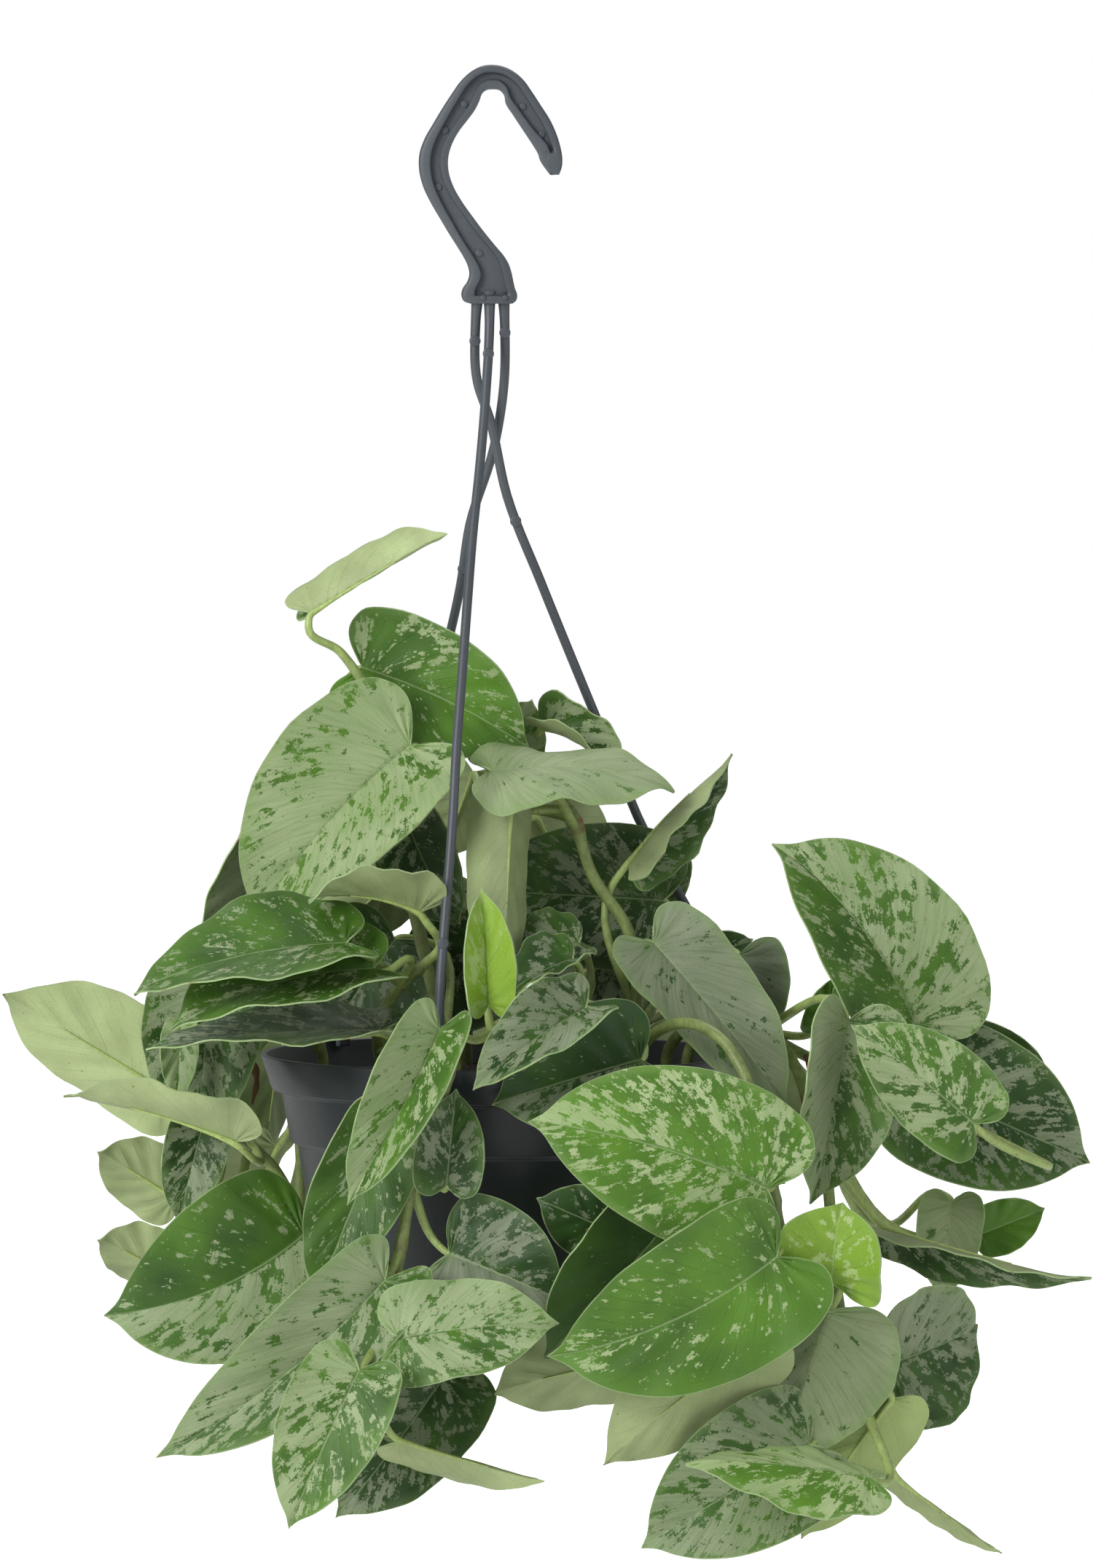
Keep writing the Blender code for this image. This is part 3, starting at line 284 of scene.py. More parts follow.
# Round marks of the moulding, as x, z and radius: those in the recess, then the two on the foot.
HOOK_MARKS = (
    (-8.4, -4.6, 1.1), (-14.4, -12.6, 1.1), (-16.4, -30.1, 1.1), (-3.8, -50.4, 1.1), (9.6, -5.4, 1.0),
    (15.4, -13.9, 1.0), (-2.6, -64.1, 0.8), (4.2, -64.1, 0.8),
)
STRANDS = {
    "front": ((-0.7, 0, -62), (-0.7, -1, -72), (-1.8, -8, -93), (-3.8, -17, -117), (-5.9, -25, -137),
              (-7.4, -33, -156), (-9, -42, -178), (-10.8, -51, -202), (-12, -58, -224)),
    "right": ((-4.3, 0.5, -62), (-5, 1, -72), (-4.4, 2.5, -90), (-0.7, 5, -101), (4.7, 7, -125),
              (15.3, 9.5, -152), (30.8, 12.5, -190), (45, 15.5, -224)),
    "left": ((3.6, 0.5, -62), (4, 1.5, -72), (3.8, 7, -90), (0.7, 12, -110), (-6.8, 19, -134),
             (-9.7, 25, -153), (-14, 30, -172), (-24.5, 36, -206)),
}
STRAND_ANGLES = {"front": -104.4, "right": 15.6, "left": 135.6}
# Small moulded buttons on the strands: strand, and how far down it.
BUTTONS = (("front", 0.14), ("front", 0.86), ("right", 0.47), ("left", 0.12), ("left", 0.52), ("right", 0.14))
# The legs of the clip that straddles the rim: the radius where each one is cut off, the side of it that the
# leg is on, and how far it drops.
CLIP_LEGS = ((70.5, -1, 2.4), (74.7, 1, 6.6))


# Sizes and colours a user may change

def length_of(name, description, default):
    return bpy.props.FloatProperty(name=name, description=description, default=default, unit="LENGTH")


def power_of(name, description, default):
    return bpy.props.FloatProperty(name=name, description=description, default=default, unit="POWER")


def colour_of(name, description, default):
    return bpy.props.FloatVectorProperty(
        name=name, description=description, default=default, subtype="COLOR", size=3)


class PotSizes(bpy.types.PropertyGroup):
    rim_radius: length_of("Rim radius", "Outer radius of the pot's rim", 0.074)
    wall: length_of("Wall", "Thickness of the pot's wall", 0.0018)
    colour: colour_of("Pot colour", "Colour of the pot's plastic", (0.0125, 0.0190, 0.0210))
    soil_colour: colour_of("Soil colour", "Colour of the moist potting soil", (0.022, 0.014, 0.009))


class HangerSizes(bpy.types.PropertyGroup):
    strand_radius: length_of("Strand radius", "Radius of the hanger's strands", 0.00145)
    hook_thickness: length_of("Hook thickness", "Thickness of the hook from face to face", 0.0066)
    colour: colour_of("Hanger colour", "Colour of the hanger's plastic", (0.074, 0.085, 0.098))


class LeafSizes(bpy.types.PropertyGroup):
    thickness: length_of("Blade thickness", "Thickness of a leaf's blade", 0.0005)
    rows: bpy.props.IntProperty(
        name="Rows", description="Rows of faces from a leaf's notch to its tip", default=44, min=12)
    columns: bpy.props.IntProperty(
        name="Columns", description="Columns of faces across a whole leaf", default=20, min=6)
    dark_green: colour_of("Dark green", "Green of a mature shaded leaf", (0.022, 0.062, 0.011))
    light_green: colour_of("Light green", "Green of a well-lit leaf", (0.125, 0.290, 0.022))
    young_green: colour_of("Young green", "Green of a newly opened leaf", (0.33, 0.50, 0.050))
    silver: colour_of("Silver", "Colour of the silver markings", (0.430, 0.515, 0.270))
    # The silver on a dark leaf: partly a painted shade of the silver, for leaves that hang in shade inside
    # the plant.
    grey: colour_of("Grey silver", "Colour of the silver on a dark leaf", (0.225, 0.255, 0.180))
    underside: colour_of("Underside", "Colour of a leaf's underside", (0.46, 0.56, 0.26))
    margin: colour_of("Margin", "Colour of the thin pale margin", (0.37, 0.47, 0.24))


class StalkSizes(bpy.types.PropertyGroup):
    colour: colour_of("Stalk colour", "Green of stems and leaf stalks", (0.40, 0.52, 0.16))
    bark: colour_of("Old sheath colour", "Brown of dry sheaths and aerial roots", (0.16, 0.085, 0.035))


class StageSizes(bpy.types.PropertyGroup):
    floor_height: length_of("Floor height", "Height of the floor below the hook's crown", -0.62)
    floor_colour: colour_of("Floor colour", "Colour of the plain floor", (0.9, 0.9, 0.9))
    key_power: power_of("Key light", "Power of the large light in front, upper left", 50.0)
    fill_power: power_of("Fill light", "Power of the soft light from the right", 7.0)
    rim_power: power_of("Top light", "Power of the light above and behind", 13.0)


# Plain helpers

def select_only(*objects):
    """Leaves edit mode, deselects everything, and selects these objects, the first of them active."""
    if bpy.context.object and bpy.context.object.mode != "OBJECT":
        bpy.ops.object.mode_set(mode="OBJECT")
    bpy.ops.object.select_all(action="DESELECT")
    for obj in objects:
        obj.select_set(True)
    if objects:
        bpy.context.view_layer.objects.active = objects[0]


def apply_modifier(obj, kind, **settings):
    """Adds a modifier with these settings and applies it."""
    select_only(obj)
    modifier = obj.modifiers.new(kind.lower(), kind)
    for key, value in settings.items():
        setattr(modifier, key, value)
    bpy.ops.object.modifier_apply(modifier=modifier.name)


def bevel(obj, width, segments, angle=40):
    """Rounds edges sharper than this angle, with the width in millimetres."""
    apply_modifier(obj, "BEVEL", width=width * MM, segments=segments, limit_method="ANGLE",
                   angle_limit=math.radians(angle))


def edit_all(obj, operator, **settings):
    """Runs an edit-mode operator on the whole mesh."""
    select_only(obj)
    bpy.ops.object.mode_set(mode="EDIT")
    bpy.ops.mesh.select_all(action="SELECT")
    operator(**settings)
    bpy.ops.object.mode_set(mode="OBJECT")


def weld(obj, distance=0.00002):
    """Merges the doubled points of seams and poles."""
    edit_all(obj, bpy.ops.mesh.remove_doubles, threshold=distance)


def face_outwards(obj):
    edit_all(obj, bpy.ops.mesh.normals_make_consistent, inside=False)


def settle(obj):
    """Applies the object's place, so that it sits at the origin with its place in its mesh."""
    select_only(obj)
    bpy.ops.object.transform_apply(location=True, rotation=True, scale=True)


def shade(obj, angle):
    """Smooths the faces that meet at less than this angle."""
    select_only(obj)
    bpy.ops.object.shade_smooth_by_angle(angle=math.radians(angle))


def joined(objects):
    select_only(*objects)
    if len(objects) > 1:
        bpy.ops.object.join()
    return bpy.context.view_layer.objects.active


def twin(obj, move):
    """A copy of the object with its own mesh, moved by a matrix."""
    made = obj.copy()
    made.data = obj.data.copy()
    bpy.context.collection.objects.link(made)
    made.data.transform(move)
    return made


def dress(obj, *materials):
    obj.data.materials.clear()
    for material in materials:
        obj.data.materials.append(material)


def finish_piece(obj, name, slot_name, *nodes):
    """Names the piece, sits it at the origin, and lets it ride on the body in place of its solids."""
    settle(obj)
    obj.name = name
    obj.data.name = name
    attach(obj, BODY)
    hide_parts(*nodes)


def patch_from_grid(points, attributes):
    """A grid primitive whose vertices are moved to points, an array of rows by columns by 3 in metres."""
    rows, columns = points.shape[:2]
    select_only()
    bpy.ops.mesh.primitive_grid_add(x_subdivisions=rows - 1, y_subdivisions=columns - 1, size=2)
    obj = bpy.context.object
    mesh = obj.data
    flat = np.zeros(len(mesh.vertices) * 3)
    mesh.vertices.foreach_get("co", flat)
    flat = flat.reshape(-1, 3)
    row = np.rint((flat[:, 0] + 1) / 2 * (rows - 1)).astype(int)
    column = np.rint((flat[:, 1] + 1) / 2 * (columns - 1)).astype(int)
    mesh.vertices.foreach_set("co", points[row, column].ravel())
    for key, values in attributes.items():
        made = mesh.attributes.new(key, "FLOAT_VECTOR", "POINT")
        made.data.foreach_set("vector", values[row, column].astype(np.float32).ravel())
    mesh.update()
    return obj


# Curves through given points

def smooth_route(points, steps):
    """Points along a smooth curve through the given ones, with this many steps between each two."""
    points = [Vector(point) for point in points]
    last = len(points) - 1
    route = []
    for index in range(last):
        start, end = points[index], points[index + 1]
        before = points[index - 1] if index else start - (end - start)
        after = points[index + 2] if index + 2 <= last else end + (end - start)
        span = (end - start).length
        leave = tangent(before, start, end) * span
        arrive = tangent(start, end, after) * span
        for step in range(steps):
            route.append(hermite(start, end, leave, arrive, step / steps))
    route.append(points[last])
    return route


def tangent(before, here, after):
    """The direction of a smooth curve at the middle one of three points."""
    first, second = here - before, after - here
    mixed = first.normalized() * second.length + second.normalized() * first.length
    return mixed.normalized()


def hermite(start, end, leave, arrive, share):
    square, cube = share ** 2, share ** 3
    return (
        (2 * cube - 3 * square + 1) * start
        + (cube - 2 * square + share) * leave
        + (3 * square - 2 * cube) * end
        + (cube - square) * arrive
    )


def capped(rows):
    """The rows with the first and the last one doubled."""
    return np.concatenate([rows[:1], rows, rows[-1:]])


def rod(route, radii, sides, look=None):
    """A round rod along a route in millimetres, closed at both ends. look gives each point its attribute."""
    centres = np.array([tuple(point) for point in route])
    heading = np.gradient(centres, axis=0)
    heading /= np.linalg.norm(heading, axis=1)[:, None] + 1e-9
    across = np.zeros_like(centres)
    start = np.cross(heading[0], (0.0, 1.0, 0.0))
    if np.linalg.norm(start) < 0.2:
        start = np.cross(heading[0], (1.0, 0.0, 0.0))
    across[0] = start / np.linalg.norm(start)
    for index in range(1, len(centres)):
        turned_on = across[index - 1] - heading[index] * (across[index - 1] @ heading[index])
        across[index] = turned_on / np.linalg.norm(turned_on)
    other = np.cross(heading, across)
    radii = np.concatenate([[0.0], np.asarray(radii, float), [0.0]])
    angle = np.linspace(0, 2 * math.pi, sides + 1)[None, :, None]
    ring = np.cos(angle) * capped(across)[:, None, :] + np.sin(angle) * capped(other)[:, None, :]
    points = (capped(centres)[:, None, :] + radii[:, None, None] * ring) * MM
    attributes = {}
    if look is not None:
        attributes["stalk_look"] = np.repeat(capped(look)[:, None, :], sides + 1, axis=1)
    obj = patch_from_grid(points, attributes)
    weld(obj)
    face_outwards(obj)
    return obj


# The plant's places

def seen(place):
    """The point that looks to be at x and z from in front, and lies at this depth."""
    x, depth, z = place
    drawn = VIEW_CENTRE + Vector((x - VIEW_CENTRE.x, 0, 0)) + (z - VIEW_CENTRE.z) * VIEW_UP
    return EYE + (depth - EYE.y) / (drawn.y - EYE.y) * (drawn - EYE)


def unseen(point):
    """The drawn place that stands for a real point, the inverse of seen."""
    ray = point - EYE
    drawn = EYE - ray * (VIEW_DISTANCE / ray.dot(VIEW_OUT)) - VIEW_CENTRE
    return Vector((VIEW_CENTRE.x + drawn.x, point.y, VIEW_CENTRE.z + drawn.dot(VIEW_UP)))


def rim_point(angle, radius, height):
    angle = math.radians(angle)
    return Vector((POT_CENTRE_X + radius * math.cos(angle), radius * math.sin(angle), height))


def rooted(x, y):
    """The stem's first points, straight up out of its hole."""
    return [Vector((x, y, STEM_FOOT)), Vector((x, y, SOIL_TOP + SOIL_CROWN)), Vector((x, y, SOIL_TOP + 8))]


def facing_roll(base, tip, outward):
    """The roll that turns a leaf's face as nearly outward as its midrib allows."""
    forward = (seen(tip) - seen(base)).normalized()
    front = across_from(Vector((0, -1, 0)), forward)
    wanted = across_from(outward, forward)
    return math.degrees(math.atan2(front.cross(wanted).dot(forward), front.dot(wanted)))


def across_from(direction, forward):
    """The direction turned square to forward."""
    return (direction - direction.dot(forward) * forward).normalized()


def hidden_look(chance):
    """How a leaf that the front view doesn't show is marked."""
    silver = chance.choice((0.25, 0.4, 0.55, 0.7, 0.9))
    other = min(silver + chance.uniform(-0.1, 0.15), 1.0)
    return {"silver": silver, "other": other, "tone": chance.uniform(0.3, 0.7)}


def back_vine(index, angle, chance, looks):
    """A vine that trails down behind the pot, its leaves turned outward one to each side in turn."""
    stem = rooted(*rim_point(angle, 46, 0).xy)
    stem += [rim_point(angle, radius, height) for radius, height in BACK_STEM]
    outward = rim_point(angle, 1, 0) - Vector((POT_CENTRE_X, 0, 0))
    leaves = []
    for level, height in enumerate(BACK_LEVELS):
        side = 1 if level % 2 else -1
        reach = 91 - 3 * level
        swing = angle + side * chance.uniform(2, 5)
        base = unseen(rim_point(swing, reach, height + chance.uniform(-4, 4)))
        swing += side * chance.uniform(1, 4)
        tip = unseen(rim_point(swing, reach + 16, height - chance.uniform(46, 56)))
        roll = facing_roll(base, tip, outward) + chance.uniform(-6, 6)
        width = chance.uniform(34, 40)
        leaves.append(Leaf(base, tip, width, 0.5 + 0.24 * level, roll, **hidden_look(looks)))
    return Vine("vine_back_%d" % (index + 1), None, leaves), stem


def crown_vine(looks):
    """The tall vine at the back of the crown, whose leaves fill the plant's far side above the rim."""
    leaves = []
    for index, ends in enumerate(CROWN_LEAVES):
        base, tip = (unseen(Vector(place)) for place in ends)
        roll = facing_roll(base, tip, Vector((0.15 * (index - 1.5), 1, 0.4)))
        leaves.append(Leaf(base, tip, 38, 0.6 + 0.1 * index, roll, **hidden_look(looks)))
    return Vine("vine_crown_back", None, leaves), rooted(-8, 30) + [Vector(place) for place in CROWN_STEM]


def all_vines():
    """Each vine with its stem's places."""
    chance = random.Random(BACK_SEED)
    looks = random.Random(LOOK_SEED)
    vines = [(vine, rooted(*vine.stem[0]) + [seen(place) for place in vine.stem[1:]]) for vine in VINES]
    vines += [back_vine(index, angle, chance, looks) for index, angle in enumerate(BACK_ANGLES)]
    return vines + [crown_vine(looks)]


# Leaves

def leaf_frame(one):
    """The leaf's length along the midrib, and the matrix from its own axes to the plant's."""
    base, tip = seen(one.base), seen(one.tip)
    arch = math.radians(math.hypot(one.droop, one.bow)) / 2
    stretch = arch / math.sin(arch) if arch > 0.005 else 1.0
    forward = (tip - base).normalized()
    facing = across_from(Vector((0, -1, 0)), forward)
    facing = Matrix.Rotation(math.radians(one.roll), 3, forward) @ facing
    turn = Matrix((forward, facing.cross(forward), facing)).transposed().to_4x4()
    return (tip - base).length * stretch, Matrix.Translation(base) @ turn


def blade_points(one, length, along, across, lift):
    """Points of the blade in the leaf's own axes, for arrays along and across, lifted out of its face."""
    share = along / length
    half = one.width / 2
    slope = math.radians(one.fold)
    turn = math.radians(one.cup or FLAT) / half
    side = np.abs(across)
    lobe = np.where(across >= 0, 1.0, -1.0)
    out = (np.sin(slope + turn * side) - math.sin(slope)) / turn
    rise = (math.cos(slope) - np.cos(slope + turn * side)) / turn
    rise = rise + one.wave * (side / half) ** 2 * np.sin(2 * math.pi * (1.4 * share + 0.25 * lobe)) + lift
    droop = one.droop or FLAT
    arch = math.radians(math.hypot(droop, one.bow))
    angle = (arch * (share - 0.5))[..., None]
    ahead, beside, above = np.eye(3)
    aside = np.array((0.0, one.bow, droop))
    aside /= np.linalg.norm(aside)
    spine = (np.sin(angle) + math.sin(arch / 2)) * ahead + (np.cos(angle) - math.cos(arch / 2)) * aside
    bend = np.sin(angle) * ahead + (np.cos(angle) - 1) * aside
    sideways = beside + (beside @ aside) * bend
    normal = above + (above @ aside) * bend
    twist = (math.radians(one.twist) * share)[..., None]
    turned_side = np.cos(twist) * sideways + np.sin(twist) * normal
    turned_normal = np.cos(twist) * normal - np.sin(twist) * sideways
    return spine * (length / arch) + (lobe * out)[..., None] * turned_side + rise[..., None] * turned_normal


def placed(points, place):
    """Points moved by a matrix."""
    turn = np.array(place)
    return points @ turn[:3, :3].T + turn[:3, 3]


def distances(points):
    """How far along a line of points each of them lies."""
    return np.concatenate([[0], np.cumsum(np.linalg.norm(np.diff(points, axis=0), axis=1))])


def outline_rows(count):
    """count + 1 rows of along, across and foot, smooth round the leaf's outline from notch to tip."""
    fine = np.array([tuple(point) for point in smooth_route(OUTLINE, 12)])
    gone = distances(fine[:, :2])
    wanted = np.linspace(0, gone[-1], count + 1)
    rows = np.stack([np.interp(wanted, gone, fine[:, axis]) for axis in range(3)], axis=1)
    rows[0], rows[-1] = OUTLINE[0], OUTLINE[-1]
    return rows


def make_blade(one, sizes, chance):
    """One leaf's blade as an open sheet, with where each point lies on the leaf kept in attributes."""
    length, place = leaf_frame(one)
    half = one.width / 2
    rows = outline_rows(sizes.rows)
    ahead, aside, foot = rows[:, 0:1], rows[:, 1:2], rows[:, 2:3]
    step = np.arange(-(sizes.columns // 2), sizes.columns // 2 + 1) / (sizes.columns // 2)
    share = (np.abs(step) ** COLUMN_CROWDING)[None, :]
    lobe = np.sign(step)[None, :]
    along = length * (foot + (ahead - foot) * share ** VEIN_SWEEP)
    across = half * aside * share * lobe
    ripple = chance.uniform(0, 6.28)
    edge_wave = RIPPLE * share ** 3 * np.sin(ahead * RIPPLE_TURNS + ripple + 2.0 * lobe)
    groove = -GROOVE * np.exp(-(across / GROOVE_WIDTH) ** 2) * np.clip(1 - along / length, 0, 1)
    furrow = FURROW * np.sin(np.linspace(0, 1, len(rows))[:, None] * FURROW_TURNS + 1.5 * lobe + ripple)
    furrow = furrow * np.sin(math.pi * share ** 0.8) * np.clip(one.width / 40, 0.4, 1)
    tip_curl = -TIP_CURL * np.clip((along / length - TIP_START) / (1 - TIP_START), 0, 1) ** 2
    points = blade_points(one, length, along, across, edge_wave + groove + furrow + tip_curl)
    pace = distances(np.hstack([length * (foot + (ahead - foot) * 0.5), half / 2 * aside]))[:, None]
    from_rib = share * np.hypot(ahead * length - length * foot, half * aside)
    seed = chance.uniform(0, 90)
    right = one.silver if one.other is None else one.other
    same = np.ones(along.shape)
    attributes = {
        "leaf_flat": (along, across, seed * same),
        "leaf_vein": (pace * same, from_rib, seed + 50.0 * (lobe < 0) * same),
        "leaf_edge": (margin_distance(along, across, length, half, rows), np.abs(across), along / length),
        # silver and tone are partly painted light: a sheen on the half that catches the light, and shade on
        # leaves deep in the plant.
        "leaf_look": (np.where(lobe > 0, right, one.silver) * same, one.tone * same, one.youth * same),
    }
    attributes = {key: np.stack(values, axis=-1) for key, values in attributes.items()}
    return patch_from_grid(placed(points, place) * MM, attributes)


def margin_distance(along, across, length, half, rows):
    """How far each point of the flat blade lies from its margin, in millimetres."""
    edge = rows[:, :2] * (length, half)
    start, span = edge[:-1], np.diff(edge, axis=0)
    point = np.stack([along, np.abs(across)], axis=-1)[:, :, None, :]
    share = ((point - start) * span).sum(-1) / (span ** 2).sum(-1)
    nearest = start + np.clip(share, 0, 1)[..., None] * span
    return np.linalg.norm(point - nearest, axis=-1).min(axis=-1)


def make_leaves(context):
    """All the blades of each vine, given their thickness, as one piece."""
    sizes = context.scene.pothos_leaf
    materials = leaf_top_material(sizes), leaf_under_material(sizes), leaf_margin_material(sizes)
    for vine, _ in all_vines():
        chance = random.Random(vine.name)
        leaves = joined([make_blade(one, sizes, chance) for one in vine.leaves])
        weld(leaves, 0.00001)
        dress(leaves, *materials)
        apply_modifier(leaves, "SOLIDIFY", thickness=sizes.thickness, offset=0.0, material_offset=1,
                       material_offset_rim=2)
        shade(leaves, 55)
        finish_piece(leaves, vine.name + "_leaves", "foliage", vine.name)


# Stems and stalks

def stem_point(route, share):
    where = share * (len(route) - 1)
    index = min(int(where), len(route) - 2)
    return route[index].lerp(route[index + 1], where - index)


def stalk_rod(route, radii, sides, brown, tone, chance):
    """A rod that keeps how brown each point is, how light, and the distance along it."""
    look = np.zeros((len(route), 3))
    look[:, 0] = brown
    look[:, 1] = tone
    look[:, 2] = np.linspace(0, 1, len(route)) + chance.uniform(0, 50)
    return rod(route, radii, sides, look)


def make_stem(vine, route, chance):
    """The stem, swollen at each joint and brown at its foot."""
    place = np.linspace(0, 1, len(route))
    radii = np.full(len(route), STEM_RADIUS * 0.95)
    brown = np.zeros(len(route))
    for one in vine.leaves:
        near = np.exp(-((place - min(one.joint, 0.98)) / 0.02) ** 2)
        radii += 0.45 * near
        brown += 0.55 * near
    brown += 0.8 * np.clip(1 - (place * len(route) - 2) / 4, 0, 1)
    radii[-1] *= 0.6
    return stalk_rod(route, radii, 14, np.clip(brown, 0, 1), 0.3, chance)


def make_petiole(one, route, chance):
    """The leaf stalk, from a sheath round the stem to the notch, running on as the midrib under the blade."""
    length, place = leaf_frame(one)
    foot = stem_point(route, one.joint)
    share, ridge = np.array(RIDGE).T
    under = placed(blade_points(one, length, share * length, 0 * share, -0.35 - 0.85 * ridge), place)
    under = [Vector(point) for point in under]
    source = seen(one.via) if one.via else foot
    reach = (under[0] - source).length
    back = (under[0] - under[1]).normalized() - 0.5 * (place.to_3x3() @ Vector((0, 0, 1)))
    back = back.normalized() + 0.7 * (source - under[0]).normalized()
    before = under[0] + back.normalized() * min(0.28 * reach, 9)
    points = [foot, before] + under
    radii = [1.3 * PETIOLE_RADIUS, PETIOLE_RADIUS] + list(ridge)
    if one.via:
        points.insert(1, source)
        radii.insert(1, 1.1 * PETIOLE_RADIUS)
    path = smooth_route(points, PETIOLE_STEPS)
    rank = np.arange(len(path))
    radii = np.interp(rank / PETIOLE_STEPS, np.arange(len(points)), radii)
    free = np.clip(rank / (len(path) - 1 - PETIOLE_STEPS * (len(RIDGE) - 1)), 0, 1)
    tone = 0.55 + 0.4 * free + 0.3 * one.youth
    return stalk_rod(path, radii, 12, 0.35 * np.exp(-rank / 2.0), tone, chance)


def make_root(places, radius, chance):
    """A dry brown sheath or aerial root, ragged in thickness and drawn out to a point."""
    route = smooth_route([seen(place) for place in places], STEM_STEPS)
    share = np.linspace(0, 1, len(route))
    ragged = 1 + 0.25 * np.sin(share * 23 + chance.uniform(0, 6))
    return stalk_rod(route, radius * ragged * (1.05 - 0.8 * share ** 2), 10, 0.95, 0.3, chance)


def make_stalks(context):
    """The stem, leaf stalks, sheaths and aerial roots of each vine, as one piece."""
    material = stalk_material(context.scene.pothos_stalk)
    for vine, stem in all_vines():
        chance = random.Random(vine.name)
        route = smooth_route(stem, STEM_STEPS)
        pieces = [make_stem(vine, route, chance)]
        pieces += [make_petiole(one, route, chance) for one in vine.leaves]
        pieces += [make_root(places, radius, chance) for name, places, radius in ROOTS if name == vine.name]
        stalks = joined(pieces)
        dress(stalks, material)
        shade(stalks, 60)
        finish_piece(stalks, vine.name + "_stalks", "foliage", vine.name)


# Shader nodes

class Shading:
    """Adds nodes to one material or group, and feeds their sockets with values or with other sockets."""

    def __init__(self, tree):
        self.tree = tree

    def feed(self, socket, value):
        if isinstance(value, bpy.types.NodeSocket):
            self.tree.links.new(value, socket)
        else:
            socket.default_value = value

    def add(self, kind, inputs=(), **settings):
        made = self.tree.nodes.new("ShaderNode" + kind)
        for key, value in settings.items():
            setattr(made, key, value)
        for key, value in dict(inputs).items():
            self.feed(made.inputs[key], value)
        return made

    def surface(self, inputs):
        """Feeds the material's Principled shader."""
        for key, value in inputs.items():
            self.feed(self.tree.nodes["Principled BSDF"].inputs[key], value)

    def group(self, name, **inputs):
        """A node group's outputs, with its own values on its inputs."""
        made = self.add("Group", node_tree=bpy.data.node_groups[name])
        for key, value in inputs.items():
            self.feed(made.inputs[key.title()], value)
        return made.outputs

    def math(self, operation, first, second, third=0.0, clamp=False):
        inputs = {0: first, 1: second, 2: third}
        return self.add("Math", inputs, operation=operation, use_clamp=clamp).outputs[0]

    def times(self, first, second, plus=None, clamp=False):
        """first times second, and plus added on where it's given."""
        if plus is None:
            return self.math("MULTIPLY", first, second, clamp=clamp)
        return self.math("MULTIPLY_ADD", first, second, plus, clamp)

    def varied(self, level, value, amount, clamp=False):
        """level moved up and down by a value that lies about one half."""
        return self.times(self.math("SUBTRACT", value, 0.5), amount, level, clamp)

    def remap(self, value, low, high, to_low=0.0, to_high=1.0):
        """value taken smoothly from low..high to to_low..to_high, and held at either end."""
        inputs = {"Value": value, "From Min": low, "From Max": high, "To Min": to_low, "To Max": to_high}
        return self.add("MapRange", inputs, interpolation_type="SMOOTHSTEP").outputs[0]

    def stretched(self, vector, scale):
        """The vector and scale for a texture. Three scales, one for each axis, are worked into the vector."""
        if isinstance(scale, tuple):
            return self.add("VectorMath", {0: vector, 1: scale}, operation="MULTIPLY").outputs[0], 1.0
        return vector, scale

    def noise(self, vector, scale, detail=2.0, roughness=0.5, distortion=0.0):
        vector, scale = self.stretched(vector, scale)
        inputs = {"Vector": vector, "Scale": scale, "Detail": detail, "Roughness": roughness,
                  "Distortion": distortion}
        return self.add("TexNoise", inputs).outputs["Fac"]

    def cells(self, vector, scale):
        """How far each place is from its cell's centre, and the three random values of that cell."""
        vector, scale = self.stretched(vector, scale)
        made = self.add("TexVoronoi", {"Vector": vector, "Scale": scale})
        return made.outputs["Distance"], self.parts(made.outputs["Color"])

    def spots(self, vector, scale, channel, rare, edge, strength):
        """A mask of round spots, in the cells whose random value is past rare."""
        away, values = self.cells(vector, scale)
        chosen = self.remap(values[channel], *rare)
        return self.times(self.remap(away, *edge, strength, 0.0), chosen)

    def mix(self, share, first, second):
        """One colour mixed into another. A plain colour is given as three numbers."""
        first, second = (value if isinstance(value, bpy.types.NodeSocket) else (*value, 1.0)
                         for value in (first, second))
        return self.add("Mix", {0: share, 6: first, 7: second}, data_type="RGBA").outputs[2]

    def parts(self, vector):
        return self.add("SeparateXYZ", {0: vector}).outputs

    def attribute(self, name):
        return self.add("Attribute", attribute_name=name).outputs["Vector"]

    def place(self):
        return self.add("TexCoord").outputs["Object"]

    def bump(self, height, distance, strength):
        return self.add("Bump", {"Height": height, "Distance": distance, "Strength": strength}).outputs[0]


def new_group(name, takes, gives):
    """A node group's shading helper, and the sockets that it takes and gives, by name."""
    tree = bpy.data.node_groups.new(name, "ShaderNodeTree")
    for way, keys in (("INPUT", takes), ("OUTPUT", gives)):
        for key in keys.split():
            kind = "NodeSocketVector" if key in ("Flat", "Vein", "Vector") else "NodeSocketFloat"
            tree.interface.new_socket(key, in_out=way, socket_type=kind)
    take = tree.nodes.new("NodeGroupInput").outputs
    give = tree.nodes.new("NodeGroupOutput").inputs
    return Shading(tree), take, give


def new_material(name, roughness, specular=0.5):
    material = bpy.data.materials.new(name)
    material.use_nodes = True
    shading = Shading(material.node_tree)
    shading.surface({"Roughness": roughness, "Specular IOR Level": specular})
    return material, shading


def times_colour(share, colour):
    return tuple(share * value for value in colour)


def build_groups():
    """The effects that more than one material uses."""
    for build in (build_silver_marks, build_vein_lines, build_satin_grain, build_scuffs):
        name = build.__name__.removeprefix("build_")
        if name not in bpy.data.node_groups:
            build(name)


